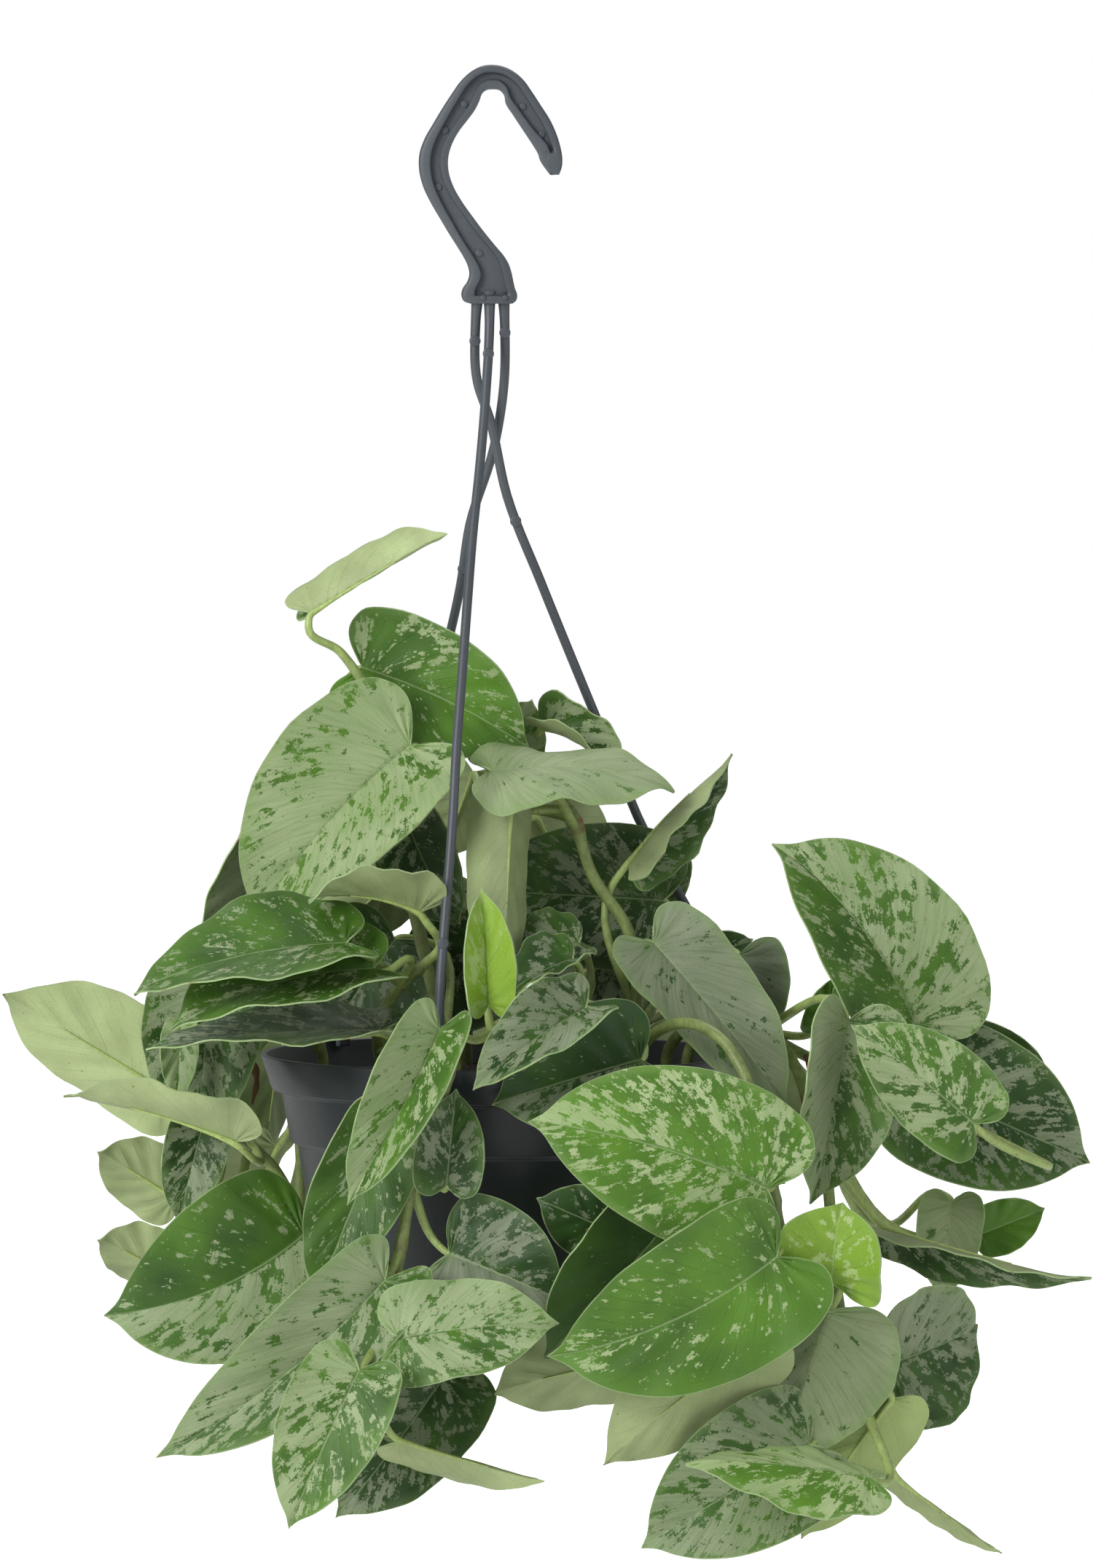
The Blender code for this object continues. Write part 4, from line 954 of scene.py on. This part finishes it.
def build_silver_marks(name):
    """Ragged silver patches that follow the veins, with loose specks between them. Places are millimetres."""
    shading, take, give = new_group(name, "Flat Vein Edge Rib Along Silver", "Mask")
    flat, vein, edge, silver = take["Flat"], take["Vein"], take["Edge"], take["Silver"]
    patches = shading.noise(vein, (0.17, 0.055, 1.0), 1.5)
    streaks = shading.noise(vein, (0.50, 0.16, 1.0), 2.5, 0.6)
    blots = shading.noise(flat, (0.26, 0.26, 1.0), 2.0, 0.6)
    crumbs = shading.noise(flat, (1.7, 1.7, 1.0), 2.0, 0.7)
    amount = shading.times(patches, 0.27)
    for value, share in ((streaks, 0.27), (blots, 0.29), (crumbs, 0.17)):
        amount = shading.times(value, share, amount)
    green_rim = shading.times(silver, 0.10, -0.08)
    amount = shading.times(shading.remap(edge, 0.3, 2.2, 1.0, 0.0), green_rim, amount)
    amount = shading.math("ADD", amount, shading.remap(take["Rib"], 0.2, 1.1, -0.03, 0.0))
    amount = shading.math("ADD", amount, shading.remap(take["Along"], 0.72, 0.98, 0.0, 0.05))
    over = shading.math("SUBTRACT", amount, shading.times(silver, -0.185, 0.592))
    patched = shading.remap(over, -0.013, 0.017)
    away, values = shading.cells(vein, (0.60, 0.36, 1.0))
    size = shading.times(silver, 0.4, shading.math("SUBTRACT", values[0], 0.56))
    size = shading.math("MINIMUM", shading.times(size, 0.62, clamp=True), 0.34)
    ragged = shading.times(crumbs, 0.35, away)
    inside = shading.math("SUBTRACT", shading.math("ADD", size, 0.175), ragged)
    specks = shading.times(shading.remap(inside, 0.0, 0.05), shading.remap(edge, 0.6, 1.6))
    shading.feed(give["Mask"], shading.math("MAXIMUM", patched, specks))


def build_vein_lines(name):
    """Side veins a few millimetres apart and the midrib, as masks that are 1 on the vein."""
    shading, take, give = new_group(name, "Vein Edge Rib Spacing Width", "Side Midrib")
    wander = shading.noise(take["Vein"], (0.07, 0.05, 1.0), 1.0)
    along = shading.times(wander, 6.0, shading.parts(take["Vein"])[0])
    broken = shading.noise(take["Vein"], (0.22, 0.09, 1.0), 1.0)
    away = shading.math("PINGPONG", along, shading.times(take["Spacing"], 0.5))
    side = shading.remap(away, 0.0, take["Width"], 1.0, 0.0)
    side = shading.times(side, shading.remap(take["Edge"], 0.2, 4.0))
    shading.feed(give["Side"], shading.times(side, shading.remap(broken, 0.38, 0.62)))
    shading.feed(give["Midrib"], shading.remap(take["Rib"], 0.12, 0.5, 1.0, 0.0))


def build_satin_grain(name):
    """A fine even grain, as a value about one half."""
    shading, take, give = new_group(name, "Vector Scale", "Grain")
    fine = shading.noise(take["Vector"], take["Scale"], 3.0, 0.7)
    away, _ = shading.cells(take["Vector"], take["Scale"])
    shading.feed(give["Grain"], shading.times(away, 0.35, shading.times(fine, 0.8)))


def build_scuffs(name):
    """Faint rubbed marks and dust, as a mask."""
    shading, take, give = new_group(name, "Vector Amount", "Mask")
    cloud = shading.noise(take["Vector"], 38.0, 4.0, 0.6, 0.4)
    drawn = shading.noise(take["Vector"], (900.0, 900.0, 90.0), 2.0, 0.6, 0.2)
    both = shading.times(shading.remap(cloud, 0.48, 0.7), shading.remap(drawn, 0.52, 0.72))
    shading.feed(give["Mask"], shading.times(both, take["Amount"]))


def leaf_shading(name, roughness, vein_width, grain_scale):
    """A leaf material, with what it reads from the blade and the veins and grain that both faces have."""
    material, shading = new_material(name, roughness, 0.34)
    edge = shading.parts(shading.attribute("leaf_edge"))
    look = shading.parts(shading.attribute("leaf_look"))
    flat, vein = shading.attribute("leaf_flat"), shading.attribute("leaf_vein")
    lines = shading.group("vein_lines", vein=vein, edge=edge[0], rib=edge[1], spacing=4.4, width=vein_width)
    grain = shading.group("satin_grain", vector=flat, scale=grain_scale)["Grain"]
    return material, shading, flat, vein, edge, look, lines, grain


def leaf_top_material(sizes):
    material, shading, flat, vein, edge, look, lines, grain = leaf_shading("leaf_top", 0.45, 0.42, 2.6)
    silver, tone, youth = look
    marks = shading.group("silver_marks", flat=flat, vein=vein, edge=edge[0], rib=edge[1], along=edge[2],
                          silver=silver)["Mask"]
    cloud = shading.noise(flat, (0.045, 0.045, 1.0), 2.0)
    # The green runs from dark to light green with each leaf's tone, which is partly painted shade on leaves
    # deep in the plant.
    green = shading.mix(shading.varied(tone, cloud, 1.3, True), sizes.dark_green, sizes.light_green)
    green = shading.mix(youth, green, sizes.young_green)
    green = shading.mix(shading.remap(grain, 0.2, 0.9, 0.0, 0.28), green, sizes.dark_green)
    green = shading.mix(shading.times(lines["Side"], 0.25), green, sizes.dark_green)
    # Leaves of low tone, partly painted shade, take the grey silver and dark green veins in place of the
    # bright silver.
    bright = shading.times(tone, 1.3, 0.05, True)
    tint = shading.mix(bright, sizes.dark_green, sizes.light_green)
    streak = shading.noise(vein, (1.1, 0.10, 1.0), 2.0)
    sheen = shading.mix(bright, sizes.grey, sizes.silver)
    sheen = shading.mix(shading.remap(grain, 0.3, 0.9, 0.0, 0.2), sheen, tint)
    sheen = shading.mix(shading.times(lines["Side"], 0.27), sheen, tint)
    sheen = shading.mix(shading.remap(streak, 0.42, 0.66, 0.0, 0.22), sheen, tint)
    sheen = shading.mix(shading.times(youth, 0.4), sheen, sizes.young_green)
    strength = shading.remap(cloud, 0.35, 0.65, 0.95, 0.74)
    colour = shading.mix(shading.times(marks, strength), green, sheen)
    colour = shading.mix(shading.times(lines["Midrib"], 0.4), colour, sizes.margin)
    border = shading.times(shading.remap(edge[0], 0.6, 3.4, 0.55, 0.0), silver)
    colour = shading.mix(border, colour, shading.mix(0.45, sheen, sizes.light_green))
    height = shading.times(marks, 0.3, shading.times(lines["Side"], -0.8, grain))
    shading.surface({
        "Base Color": shading.mix(shading.remap(edge[0], 0.08, 0.34, 0.5, 0.0), colour, sizes.margin),
        "Roughness": shading.times(grain, 0.14, shading.times(marks, 0.08, 0.40)),
        "Normal": shading.bump(height, 0.00012, 0.6),
    })
    return material


def leaf_under_material(sizes):
    material, shading, flat, vein, edge, look, lines, grain = leaf_shading("leaf_under", 0.55, 0.6, 2.2)
    _, tone, youth = look
    cloud = shading.noise(flat, (0.06, 0.06, 1.0), 3.0)
    # The underside darkens with each leaf's tone, partly painted shade on leaves deep in the plant; the same
    # darker colour also marks the grain and veins.
    dark_and_shaded_underside = times_colour(0.34, sizes.underside)
    light = shading.varied(shading.times(tone, 0.6, 0.30), cloud, 1.2, True)
    colour = shading.mix(light, dark_and_shaded_underside, sizes.underside)
    colour = shading.mix(shading.times(youth, 0.6), colour, sizes.young_green)
    colour = shading.mix(shading.remap(grain, 0.3, 0.9, 0.0, 0.25), colour, dark_and_shaded_underside)
    colour = shading.mix(shading.times(lines["Side"], 0.12), colour, dark_and_shaded_underside)
    spot = shading.spots(flat, (0.35, 0.35, 1.0), 1, (0.93, 0.94), (0.08, 0.14), 0.7)
    colour = shading.mix(spot, colour, (0.12, 0.07, 0.03))
    shading.surface({
        "Base Color": shading.mix(shading.remap(edge[0], 0.08, 0.34, 0.4, 0.0), colour, sizes.margin),
        "Roughness": shading.times(grain, 0.16, 0.46),
        "Normal": shading.bump(shading.times(lines["Side"], 1.3, grain), 0.0001, 0.6),
    })
    return material


def leaf_margin_material(sizes):
    material, shading = new_material("leaf_margin", 0.5)
    flat = shading.attribute("leaf_flat")
    grain = shading.group("satin_grain", vector=flat, scale=1.2)["Grain"]
    worn = shading.remap(shading.noise(flat, (0.2, 0.2, 1.0), 2.0), 0.62, 0.72, 0.0, 0.7)
    colour = shading.mix(shading.remap(grain, 0.2, 0.9, 0.0, 0.4), sizes.margin, sizes.light_green)
    shading.surface({
        "Base Color": shading.mix(worn, colour, (0.24, 0.17, 0.07)),
        "Roughness": shading.times(grain, 0.2, 0.4),
    })
    return material


def stalk_material(sizes):
    material, shading = new_material("stalk", 0.42)
    brown, tone, _ = shading.parts(shading.attribute("stalk_look"))
    place = shading.place()
    streaks = shading.noise(place, (1400.0, 1400.0, 260.0), 3.0, 0.6)
    blotch = shading.noise(place, 260.0, 3.0, 0.6)
    dark = times_colour(0.30, sizes.colour)
    colour = shading.mix(shading.varied(tone, blotch, 1.1, True), dark, sizes.colour)
    colour = shading.mix(shading.remap(streaks, 0.45, 0.75, 0.0, 0.35), colour, dark)
    colour = shading.mix(shading.spots(place, 620.0, 0, (0.8, 0.82), (0.15, 0.3), 0.5), colour, sizes.bark)
    bark = shading.math("ADD", brown, shading.times(shading.math("SUBTRACT", blotch, 0.5), 0.9))
    shading.surface({
        "Base Color": shading.mix(shading.remap(bark, 0.35, 0.75), colour, sizes.bark),
        "Roughness": shading.remap(bark, 0.3, 0.8, 0.42, 0.75),
        "Normal": shading.bump(streaks, 0.00025, 0.6),
    })
    return material


def plastic_material(name, colour, grain_scale, roughness, dust):
    """Moulded plastic with a fine texture and a little rubbed-off dust."""
    material, shading = new_material(name, roughness)
    place = shading.place()
    grain = shading.group("satin_grain", vector=place, scale=grain_scale)["Grain"]
    marks = shading.group("scuffs", vector=place, amount=dust)["Mask"]
    cloud = shading.noise(place, 16.0, 3.0)
    pale = tuple(min(2.4 * value + 0.02, 1.0) for value in colour)
    base = shading.mix(shading.remap(cloud, 0.3, 0.7), times_colour(0.78, colour), colour)
    base = shading.mix(shading.remap(grain, 0.5, 1.0, 0.0, 0.1), base, pale)
    shading.surface({
        "Base Color": shading.mix(marks, base, pale),
        "Roughness": shading.times(marks, 0.3, shading.varied(roughness, grain, 0.16)),
        "Normal": shading.bump(grain, 0.00003, 0.5),
    })
    return material


def soil_material(colour):
    material, shading = new_material("potting_soil", 0.95)
    place = shading.place()
    crumbs, _ = shading.cells(place, 330.0)
    fibre = shading.noise(place, (700.0, 260.0, 400.0), 4.0, 0.7, 1.0)
    base = shading.mix(shading.remap(fibre, 0.35, 0.7), colour, times_colour(2.6, colour))
    # Darker in the gaps between crumbs: painted shade.
    crumb_gap_shade = shading.remap(crumbs, 0.2, 0.8, 0.0, 0.7)
    shading.surface({
        "Base Color": shading.mix(crumb_gap_shade, base, times_colour(0.35, colour)),
        "Roughness": shading.remap(fibre, 0.3, 0.7, 0.75, 0.98),
        "Normal": shading.bump(shading.math("SUBTRACT", fibre, crumbs), 0.0008, 0.8),
    })
    return material


def speck_material(name, first, second, roughness):
    """A loose grain's material, mottled between two colours."""
    material, shading = new_material(name, roughness)
    mottle = shading.noise(shading.place(), 900.0, 3.0, 0.6)
    shading.surface({
        "Base Color": shading.mix(shading.remap(mottle, 0.35, 0.65), first, second),
        "Normal": shading.bump(mottle, 0.0003, 0.7),
    })
    return material


# Pot and soil

def turned(profile, steps):
    """A wall turned about the pot's axis: a ring drawn out row by row, then closed at both ends."""
    select_only()
    radius, height = profile[0]
    axis = (POT_CENTRE_X * MM, 0, 0)
    bpy.ops.mesh.primitive_circle_add(
        vertices=steps, radius=radius * MM, fill_type="NOTHING", location=(axis[0], 0, height * MM))
    obj = bpy.context.object
    bpy.ops.object.mode_set(mode="EDIT")
    bpy.ops.mesh.select_all(action="SELECT")
    bpy.ops.mesh.edge_face_add()
    for (inner, low), (outer, high) in zip(profile, profile[1:]):
        bpy.ops.mesh.extrude_region_move(TRANSFORM_OT_translate={"value": (0, 0, (high - low) * MM)})
        bpy.ops.transform.resize(value=(outer / inner, outer / inner, 1), center_override=axis)
    bpy.ops.object.mode_set(mode="OBJECT")
    face_outwards(obj)
    return obj


def make_pot(context):
    sizes = context.scene.pothos_pot
    rim = sizes.rim_radius / MM
    wall = sizes.wall / MM
    band_foot = RIM_TOP - BAND_HEIGHT
    pot = turned((
        (48.0, POT_FLOOR + 0.8), (49.4, POT_FLOOR), (51.0, POT_FLOOR), (53.5, -364.5), (56.2, -363.0),
        (62.6, -325.2), (64.8, -324.0), (67.5, band_foot - 0.6), (70.5, band_foot), (rim, RIM_TOP),
        (rim - wall, RIM_TOP), (68.6, band_foot + 1.2), (65.6, band_foot - 1.0), (60.6, -325.6),
        (50.0, POT_FLOOR + wall),
    ), POT_STEPS)
    bevel(pot, 0.55, 3, 24)
    cut_drains(pot)
    dress(pot, plastic_material("pot_plastic", tuple(sizes.colour), 1500.0, 0.40, 0.35))
    shade(pot, 32)
    finish_piece(pot, "pot_shell", "pot_plastic", "pot")


def cut_drains(pot):
    """Four round holes through the pot's floor."""
    drills = []
    for index in range(4):
        select_only()
        place = rim_point(45 + 90 * index, DRAIN_RING, POT_FLOOR)
        bpy.ops.mesh.primitive_cylinder_add(vertices=32, radius=3.5 * MM, depth=14 * MM, location=place * MM)
        drills.append(bpy.context.object)
    drill = joined(drills)
    apply_modifier(pot, "BOOLEAN", operation="DIFFERENCE", object=drill, solver="EXACT")
    bpy.data.objects.remove(drill)


def soil_height(x, y):
    """The crumbly top of the soil at a place, in millimetres."""
    away = math.hypot(x - POT_CENTRE_X, y)
    crown = SOIL_TOP + SOIL_CROWN * max(1 - (away / 64) ** 2, 0)
    lumps = math.sin(x * 0.31 + 1.3) * math.sin(y * 0.27 + 0.4) + 0.6 * math.sin(x * 0.83 + y * 0.55)
    crumbs = math.sin(x * 2.3 + 3 * math.sin(y * 0.9)) * math.sin(y * 2.1 + 2 * math.sin(x * 1.1))
    return crown + 0.7 * lumps + 0.45 * crumbs


def make_soil(context):
    colour = tuple(context.scene.pothos_pot.soil_colour)
    chance = random.Random(LOOK_SEED)
    rows = [(48.0, -366.0), (49.6, POT_FLOOR + 2.2), (60.2, -325.6), (65.0, -310.0), (65.3, SOIL_TOP - 0.6)]
    rows += [(radius, SOIL_TOP) for radius in np.linspace(64.6, 1.2, 52)]
    soil = turned(rows, SOIL_STEPS)
    settle(soil)
    for vertex in soil.data.vertices:
        if vertex.co.z > (SOIL_TOP - 0.3) * MM:
            vertex.co.z = soil_height(vertex.co.x / MM, vertex.co.y / MM) * MM
    dress(soil, soil_material(colour))
    shade(soil, 60)
    pieces = [soil]
    for look, count, size in (
        (("pale_fleck", (0.62, 0.58, 0.50), (0.40, 0.36, 0.30), 0.9), 70, 1.0),
        (("bark_fleck", (0.30, 0.12, 0.035), (0.12, 0.05, 0.02), 0.85), 90, 1.5),
        (("peat_crumb", (0.05, 0.032, 0.02), (0.018, 0.012, 0.008), 0.95), 420, 1.3),
    ):
        pieces += scatter(speck_material(*look), count, size, chance)
    finish_piece(joined(pieces), "soil_bed", "peat", "soil")


def scatter(material, count, size, chance):
    """Loose grains lying on the soil, each copied from one lump and turned and stretched its own way."""
    select_only()
    bpy.ops.mesh.primitive_ico_sphere_add(subdivisions=1, radius=MM)
    lump = bpy.context.object
    dress(lump, material)
    for vertex in lump.data.vertices:
        vertex.co *= chance.uniform(0.75, 1.2)
    grains = []
    for _ in range(count):
        angle = chance.uniform(0, 2 * math.pi)
        away = 63 * math.sqrt(chance.random())
        x, y = POT_CENTRE_X + away * math.cos(angle), away * math.sin(angle)
        reach = size * chance.uniform(0.5, 1.15)
        turn = Matrix.Rotation(chance.uniform(0, 6.28), 4, "Z")
        turn = turn @ Matrix.Rotation(chance.uniform(-0.6, 0.6), 4, "X")
        stretch = Matrix.Diagonal(
            (reach * chance.uniform(0.8, 1.7), reach, reach * chance.uniform(0.45, 0.9), 1))
        place = Matrix.Translation(Vector((x, y, soil_height(x, y) + 0.15)) * MM)
        grains.append(twin(lump, place @ turn @ stretch))
    bpy.data.objects.remove(lump)
    return grains


# Hanger

def hook_section(width, half, sunk, outer, inner):
    """Half of the hook's section: distance from the outer edge, and depth. sunk is 0 without a recess."""
    floor = half - HOOK_RECESS * sunk
    corner = min(1.5, 0.5 * outer)
    near = [(0.0, 0.0), (0.0, half - corner), (0.12 * corner, half - 0.55 * corner),
            (0.45 * corner, half - 0.15 * corner), (corner, half)]
    corner = HOOK_EDGE_ROUND
    far = [(0.0, 0.0), (0.0, half - corner), (0.24 * corner, half - 0.3 * corner), (corner, half)]
    for side, border in ((near, outer), (far, inner)):
        side += [(border - 0.3, half), (border, half - 0.25 * sunk), (border + 0.25, floor + 0.3 * sunk),
                 (border + 0.5, floor)]
    return near + [(width - away, depth) for away, depth in reversed(far)]


def make_hook(half):
    """The hook, drawn rung by rung between its two edges, with a recess sunk in both faces."""
    rungs = np.array(HOOK_RUNGS)
    outer, inner = (smooth_route([Vector((rung[at], 0, rung[at + 1])) for rung in HOOK_RUNGS], HOOK_STEPS)
                    for at in (0, 2))
    rank = np.arange(len(outer)) / HOOK_STEPS
    borders = np.stack([np.interp(rank, np.arange(len(rungs)), rungs[:, at]) for at in (4, 5)], axis=1)
    first, last = 1.9, len(rungs) - 3.7
    rows = []
    for here, border, left, right in zip(rank, borders, outer, inner):
        sunk = min(max((here - first) * HOOK_STEPS, 0), max((last - here) * HOOK_STEPS, 0), 1.0)
        across = (right - left).normalized()
        width = (right - left).length
        section = hook_section(width, half, sunk, *(border * min((width - 1.4) / border.sum(), 1)))
        section = [(away, -depth) for away, depth in section] + section[::-1]
        rows.append([tuple(left + across * away + Vector((0, depth, 0))) for away, depth in section])
    rows = np.array(rows)
    foot, tip = rows[0].mean(axis=0), rows[-1].mean(axis=0)
    start = [foot + 0 * rows[0], foot + 0.9 * (rows[0] - foot), rows[0] + 0.12 * (rows[1] - rows[0])]
    end = [tip + 0.7 * (rows[-1] - tip), tip + 0 * rows[-1]]
    rows = np.stack(start + list(rows[1:]) + end)
    hook = patch_from_grid(np.concatenate([rows, rows[:, :1]], axis=1) * MM, {})
    weld(hook)
    face_outwards(hook)
    return hook


def make_marks(half):
    """The round marks in both recesses and the small ones on the foot."""
    select_only()
    bpy.ops.mesh.primitive_cylinder_add(vertices=28, radius=MM, depth=MM, rotation=(math.pi / 2, 0, 0))
    disc = bpy.context.object
    settle(disc)
    made = []
    for x, z, radius in HOOK_MARKS:
        floor = half if radius < 1 else half - HOOK_RECESS
        for outward in (-1, 1):
            size = Matrix.Diagonal((radius, 1.0, radius, 1))
            made.append(twin(disc, Matrix.Translation(Vector((x, outward * floor, z)) * MM) @ size))
    bpy.data.objects.remove(disc)
    marks = joined(made)
    bevel(marks, 0.12, 2)
    return marks


def make_clip():
    """The inverted U that straddles the rim, made once over the x axis."""
    low, high = RIM_TOP + 0.6, RIM_TOP + 3.0
    select_only()
    bpy.ops.mesh.primitive_cube_add(size=MM, location=Vector((72.2, 0, (low + high) / 2)) * MM)
    clip = bpy.context.object
    clip.scale = (7.2, 5.0, high - low)
    settle(clip)
    for cut, _, _ in CLIP_LEGS:
        edit_all(clip, bpy.ops.mesh.bisect, plane_co=(cut * MM, 0, 0), plane_no=(1, 0, 0))
    for cut, side, drop in CLIP_LEGS:
        select_only(clip)
        bpy.ops.object.mode_set(mode="EDIT")
        bpy.ops.mesh.select_all(action="DESELECT")
        bpy.ops.mesh.select_mode(type="FACE")
        bpy.ops.object.mode_set(mode="OBJECT")
        for face in clip.data.polygons:
            face.select = face.normal.z < -0.9 and side * (face.center.x - cut * MM) > 0
        bpy.ops.object.mode_set(mode="EDIT")
        bpy.ops.mesh.extrude_region_move(TRANSFORM_OT_translate={"value": (0, 0, -drop * MM)})
        bpy.ops.object.mode_set(mode="OBJECT")
    bevel(clip, 0.45, 3)
    return clip


def strand_route(side):
    """A strand from the hook's foot down to its clip."""
    clip = [rim_point(STRAND_ANGLES[side], *place) for place in ((72.4, RIM_TOP + 9), (72.2, RIM_TOP + 1.6))]
    return smooth_route([seen(place) for place in STRANDS[side]] + clip, 7)


def make_button(middle, radius):
    """A small drum across the strand, round at its edges."""
    select_only()
    bpy.ops.mesh.primitive_cylinder_add(
        vertices=24, radius=1.75 * MM, depth=2 * (radius + 0.35) * MM, location=middle * MM,
        rotation=(math.pi / 2, 0, 0))
    button = bpy.context.object
    bevel(button, 0.3, 2)
    settle(button)
    return button


def make_hanger(context):
    sizes = context.scene.pothos_hanger
    radius = sizes.strand_radius / MM
    half = sizes.hook_thickness / MM / 2
    pieces = [make_hook(half), make_marks(half)]
    clip = make_clip()
    axis = Matrix.Translation(Vector((POT_CENTRE_X * MM, 0, 0)))
    for side, angle in STRAND_ANGLES.items():
        route = strand_route(side)
        rank = np.arange(len(route))
        flare = 0.9 * np.exp(-rank / 2.5) + 0.7 * np.exp(-(len(route) - 1 - rank) / 3.0)
        pieces.append(rod(route, radius + flare, 16))
        pieces.append(twin(clip, axis @ Matrix.Rotation(math.radians(angle), 4, "Z")))
    bpy.data.objects.remove(clip)
    for side, share in BUTTONS:
        route = strand_route(side)
        pieces.append(make_button(route[round(share * (len(route) - 1))], radius))
    hanger = joined(pieces)
    dress(hanger, plastic_material("hanger_plastic", tuple(sizes.colour), 1300.0, 0.42, 0.25))
    shade(hanger, 34)
    finish_piece(hanger, "hanger_moulding", "hanger_plastic", "hanger")


# Stage

def make_stage(context):
    sizes = context.scene.pothos_stage
    scene = context.scene
    scene.view_settings.view_transform = "Standard"
    make_world(scene)
    select_only()
    bpy.ops.mesh.primitive_plane_add(size=14, location=(0, 0, sizes.floor_height))
    floor = bpy.context.object
    floor.name = "floor"
    material, shading = new_material("floor_paint", 0.9)
    cloud = shading.noise(shading.place(), 2.0, 2.0)
    pale = tuple(sizes.floor_colour)
    camera_ray = shading.add("LightPath").outputs["Is Camera Ray"]
    shading.surface({
        "Base Color": shading.mix(cloud, pale, times_colour(0.985, pale)),
        "Emission Color": (1, 1, 1, 1),
        "Emission Strength": shading.times(camera_ray, 0.85, 0.12),
    })
    floor.data.materials.append(material)
    area_light("key_light", (-1.55, -1.75, 0.75), 1.1, 1.5, sizes.key_power)
    area_light("fill_light", (1.9, -1.2, 0.0), 1.2, 1.2, sizes.fill_power)
    area_light("top_light", (0.2, 0.9, 1.5), 1.4, 1.4, sizes.rim_power)
    make_camera(scene)


def make_world(scene):
    """An even white surround for the view, and a softer one for light."""
    world = bpy.data.worlds.new("white_surround")
    world.use_nodes = True
    scene.world = world
    shading = Shading(world.node_tree)
    world.node_tree.nodes.clear()
    white = shading.add("Background", {"Color": (1, 1, 1, 1), "Strength": 1.0}).outputs[0]
    lit = shading.add("Background", {"Color": (0.97, 0.99, 1.0, 1), "Strength": 0.36}).outputs[0]
    camera_ray = shading.add("LightPath").outputs["Is Camera Ray"]
    mixed = shading.add("MixShader", {0: camera_ray, 1: lit, 2: white}).outputs[0]
    shading.add("OutputWorld", {"Surface": mixed})


def area_light(name, place, width, height, power):
    """A soft rectangular light aimed at the plant's middle."""
    select_only()
    bpy.ops.object.light_add(type="AREA", location=place)
    light = bpy.context.object
    light.name = name
    light.data.shape = "RECTANGLE"
    light.data.size = width
    light.data.size_y = height
    light.data.energy = power
    aim = Vector((0.01, 0, -0.25)) - Vector(place)
    light.rotation_euler = aim.to_track_quat("-Z", "Y").to_euler()


def make_camera(scene):
    select_only()
    bpy.ops.object.camera_add(location=EYE * MM, rotation=(math.pi / 2 - VIEW_RISE, 0, 0))
    camera = bpy.context.object
    camera.name = "view_camera"
    camera.data.sensor_fit = "VERTICAL"
    camera.data.sensor_width = 36
    camera.data.sensor_height = 36
    camera.data.lens = 36 * VIEW_DISTANCE / VIEW_HEIGHT
    camera.data.clip_end = 60
    scene.camera = camera


# Operators, panel and registration

class POTHOS_OT_pot(bpy.types.Operator):
    """Makes the turned nursery pot with its drain holes"""
    bl_idname = "pothos.pot"
    bl_label = "Pot"

    def execute(self, context):
        build_groups()
        make_pot(context)
        return {"FINISHED"}


class POTHOS_OT_soil(bpy.types.Operator):
    """Makes the potting soil with its loose crumbs and flecks"""
    bl_idname = "pothos.soil"
    bl_label = "Soil"

    def execute(self, context):
        make_soil(context)
        return {"FINISHED"}


class POTHOS_OT_hanger(bpy.types.Operator):
    """Makes the moulded hook, its three strands and the rim clips"""
    bl_idname = "pothos.hanger"
    bl_label = "Hanger"

    def execute(self, context):
        build_groups()
        make_hanger(context)
        return {"FINISHED"}


class POTHOS_OT_leaves(bpy.types.Operator):
    """Makes the leaf blades of every vine"""
    bl_idname = "pothos.leaves"
    bl_label = "Leaves"

    def execute(self, context):
        build_groups()
        make_leaves(context)
        return {"FINISHED"}


class POTHOS_OT_stalks(bpy.types.Operator):
    """Makes the stems and leaf stalks of every vine"""
    bl_idname = "pothos.stalks"
    bl_label = "Stems and leaf stalks"

    def execute(self, context):
        make_stalks(context)
        return {"FINISHED"}


class POTHOS_OT_stage(bpy.types.Operator):
    """Makes the floor, lights, surround and camera"""
    bl_idname = "pothos.stage"
    bl_label = "Stage"

    def execute(self, context):
        make_stage(context)
        return {"FINISHED"}


class POTHOS_PT_panel(bpy.types.Panel):
    """Lists the pieces of the hanging pothos"""
    bl_idname = "POTHOS_PT_panel"
    bl_label = "Hanging pothos"
    bl_space_type = "VIEW_3D"
    bl_region_type = "UI"
    bl_category = "Pothos"

    def draw(self, context):
        for operator in OPERATORS:
            self.layout.operator(operator.bl_idname)
        for name in GROUPS:
            settings = getattr(context.scene, name)
            box = self.layout.box()
            for key in settings.bl_rna.properties.keys():
                if key not in ("rna_type", "name"):
                    box.prop(settings, key)


OPERATORS = (POTHOS_OT_pot, POTHOS_OT_soil, POTHOS_OT_hanger,
             POTHOS_OT_leaves, POTHOS_OT_stalks, POTHOS_OT_stage)
GROUPS = {
    "pothos_pot": PotSizes,
    "pothos_hanger": HangerSizes,
    "pothos_leaf": LeafSizes,
    "pothos_stalk": StalkSizes,
    "pothos_stage": StageSizes,
}


def register():
    for kind in (*GROUPS.values(), *OPERATORS, POTHOS_PT_panel):
        bpy.utils.register_class(kind)
    for name, kind in GROUPS.items():
        setattr(bpy.types.Scene, name, bpy.props.PointerProperty(type=kind))


def unregister():
    for name in GROUPS:
        delattr(bpy.types.Scene, name)
    for kind in reversed((*GROUPS.values(), *OPERATORS, POTHOS_PT_panel)):
        bpy.utils.unregister_class(kind)


def main():
    register()
    bpy.ops.pothos.pot()
    bpy.ops.pothos.soil()
    bpy.ops.pothos.hanger()
    bpy.ops.pothos.leaves()
    bpy.ops.pothos.stalks()
    bpy.ops.pothos.stage()


if __name__ == "__main__":
    main()
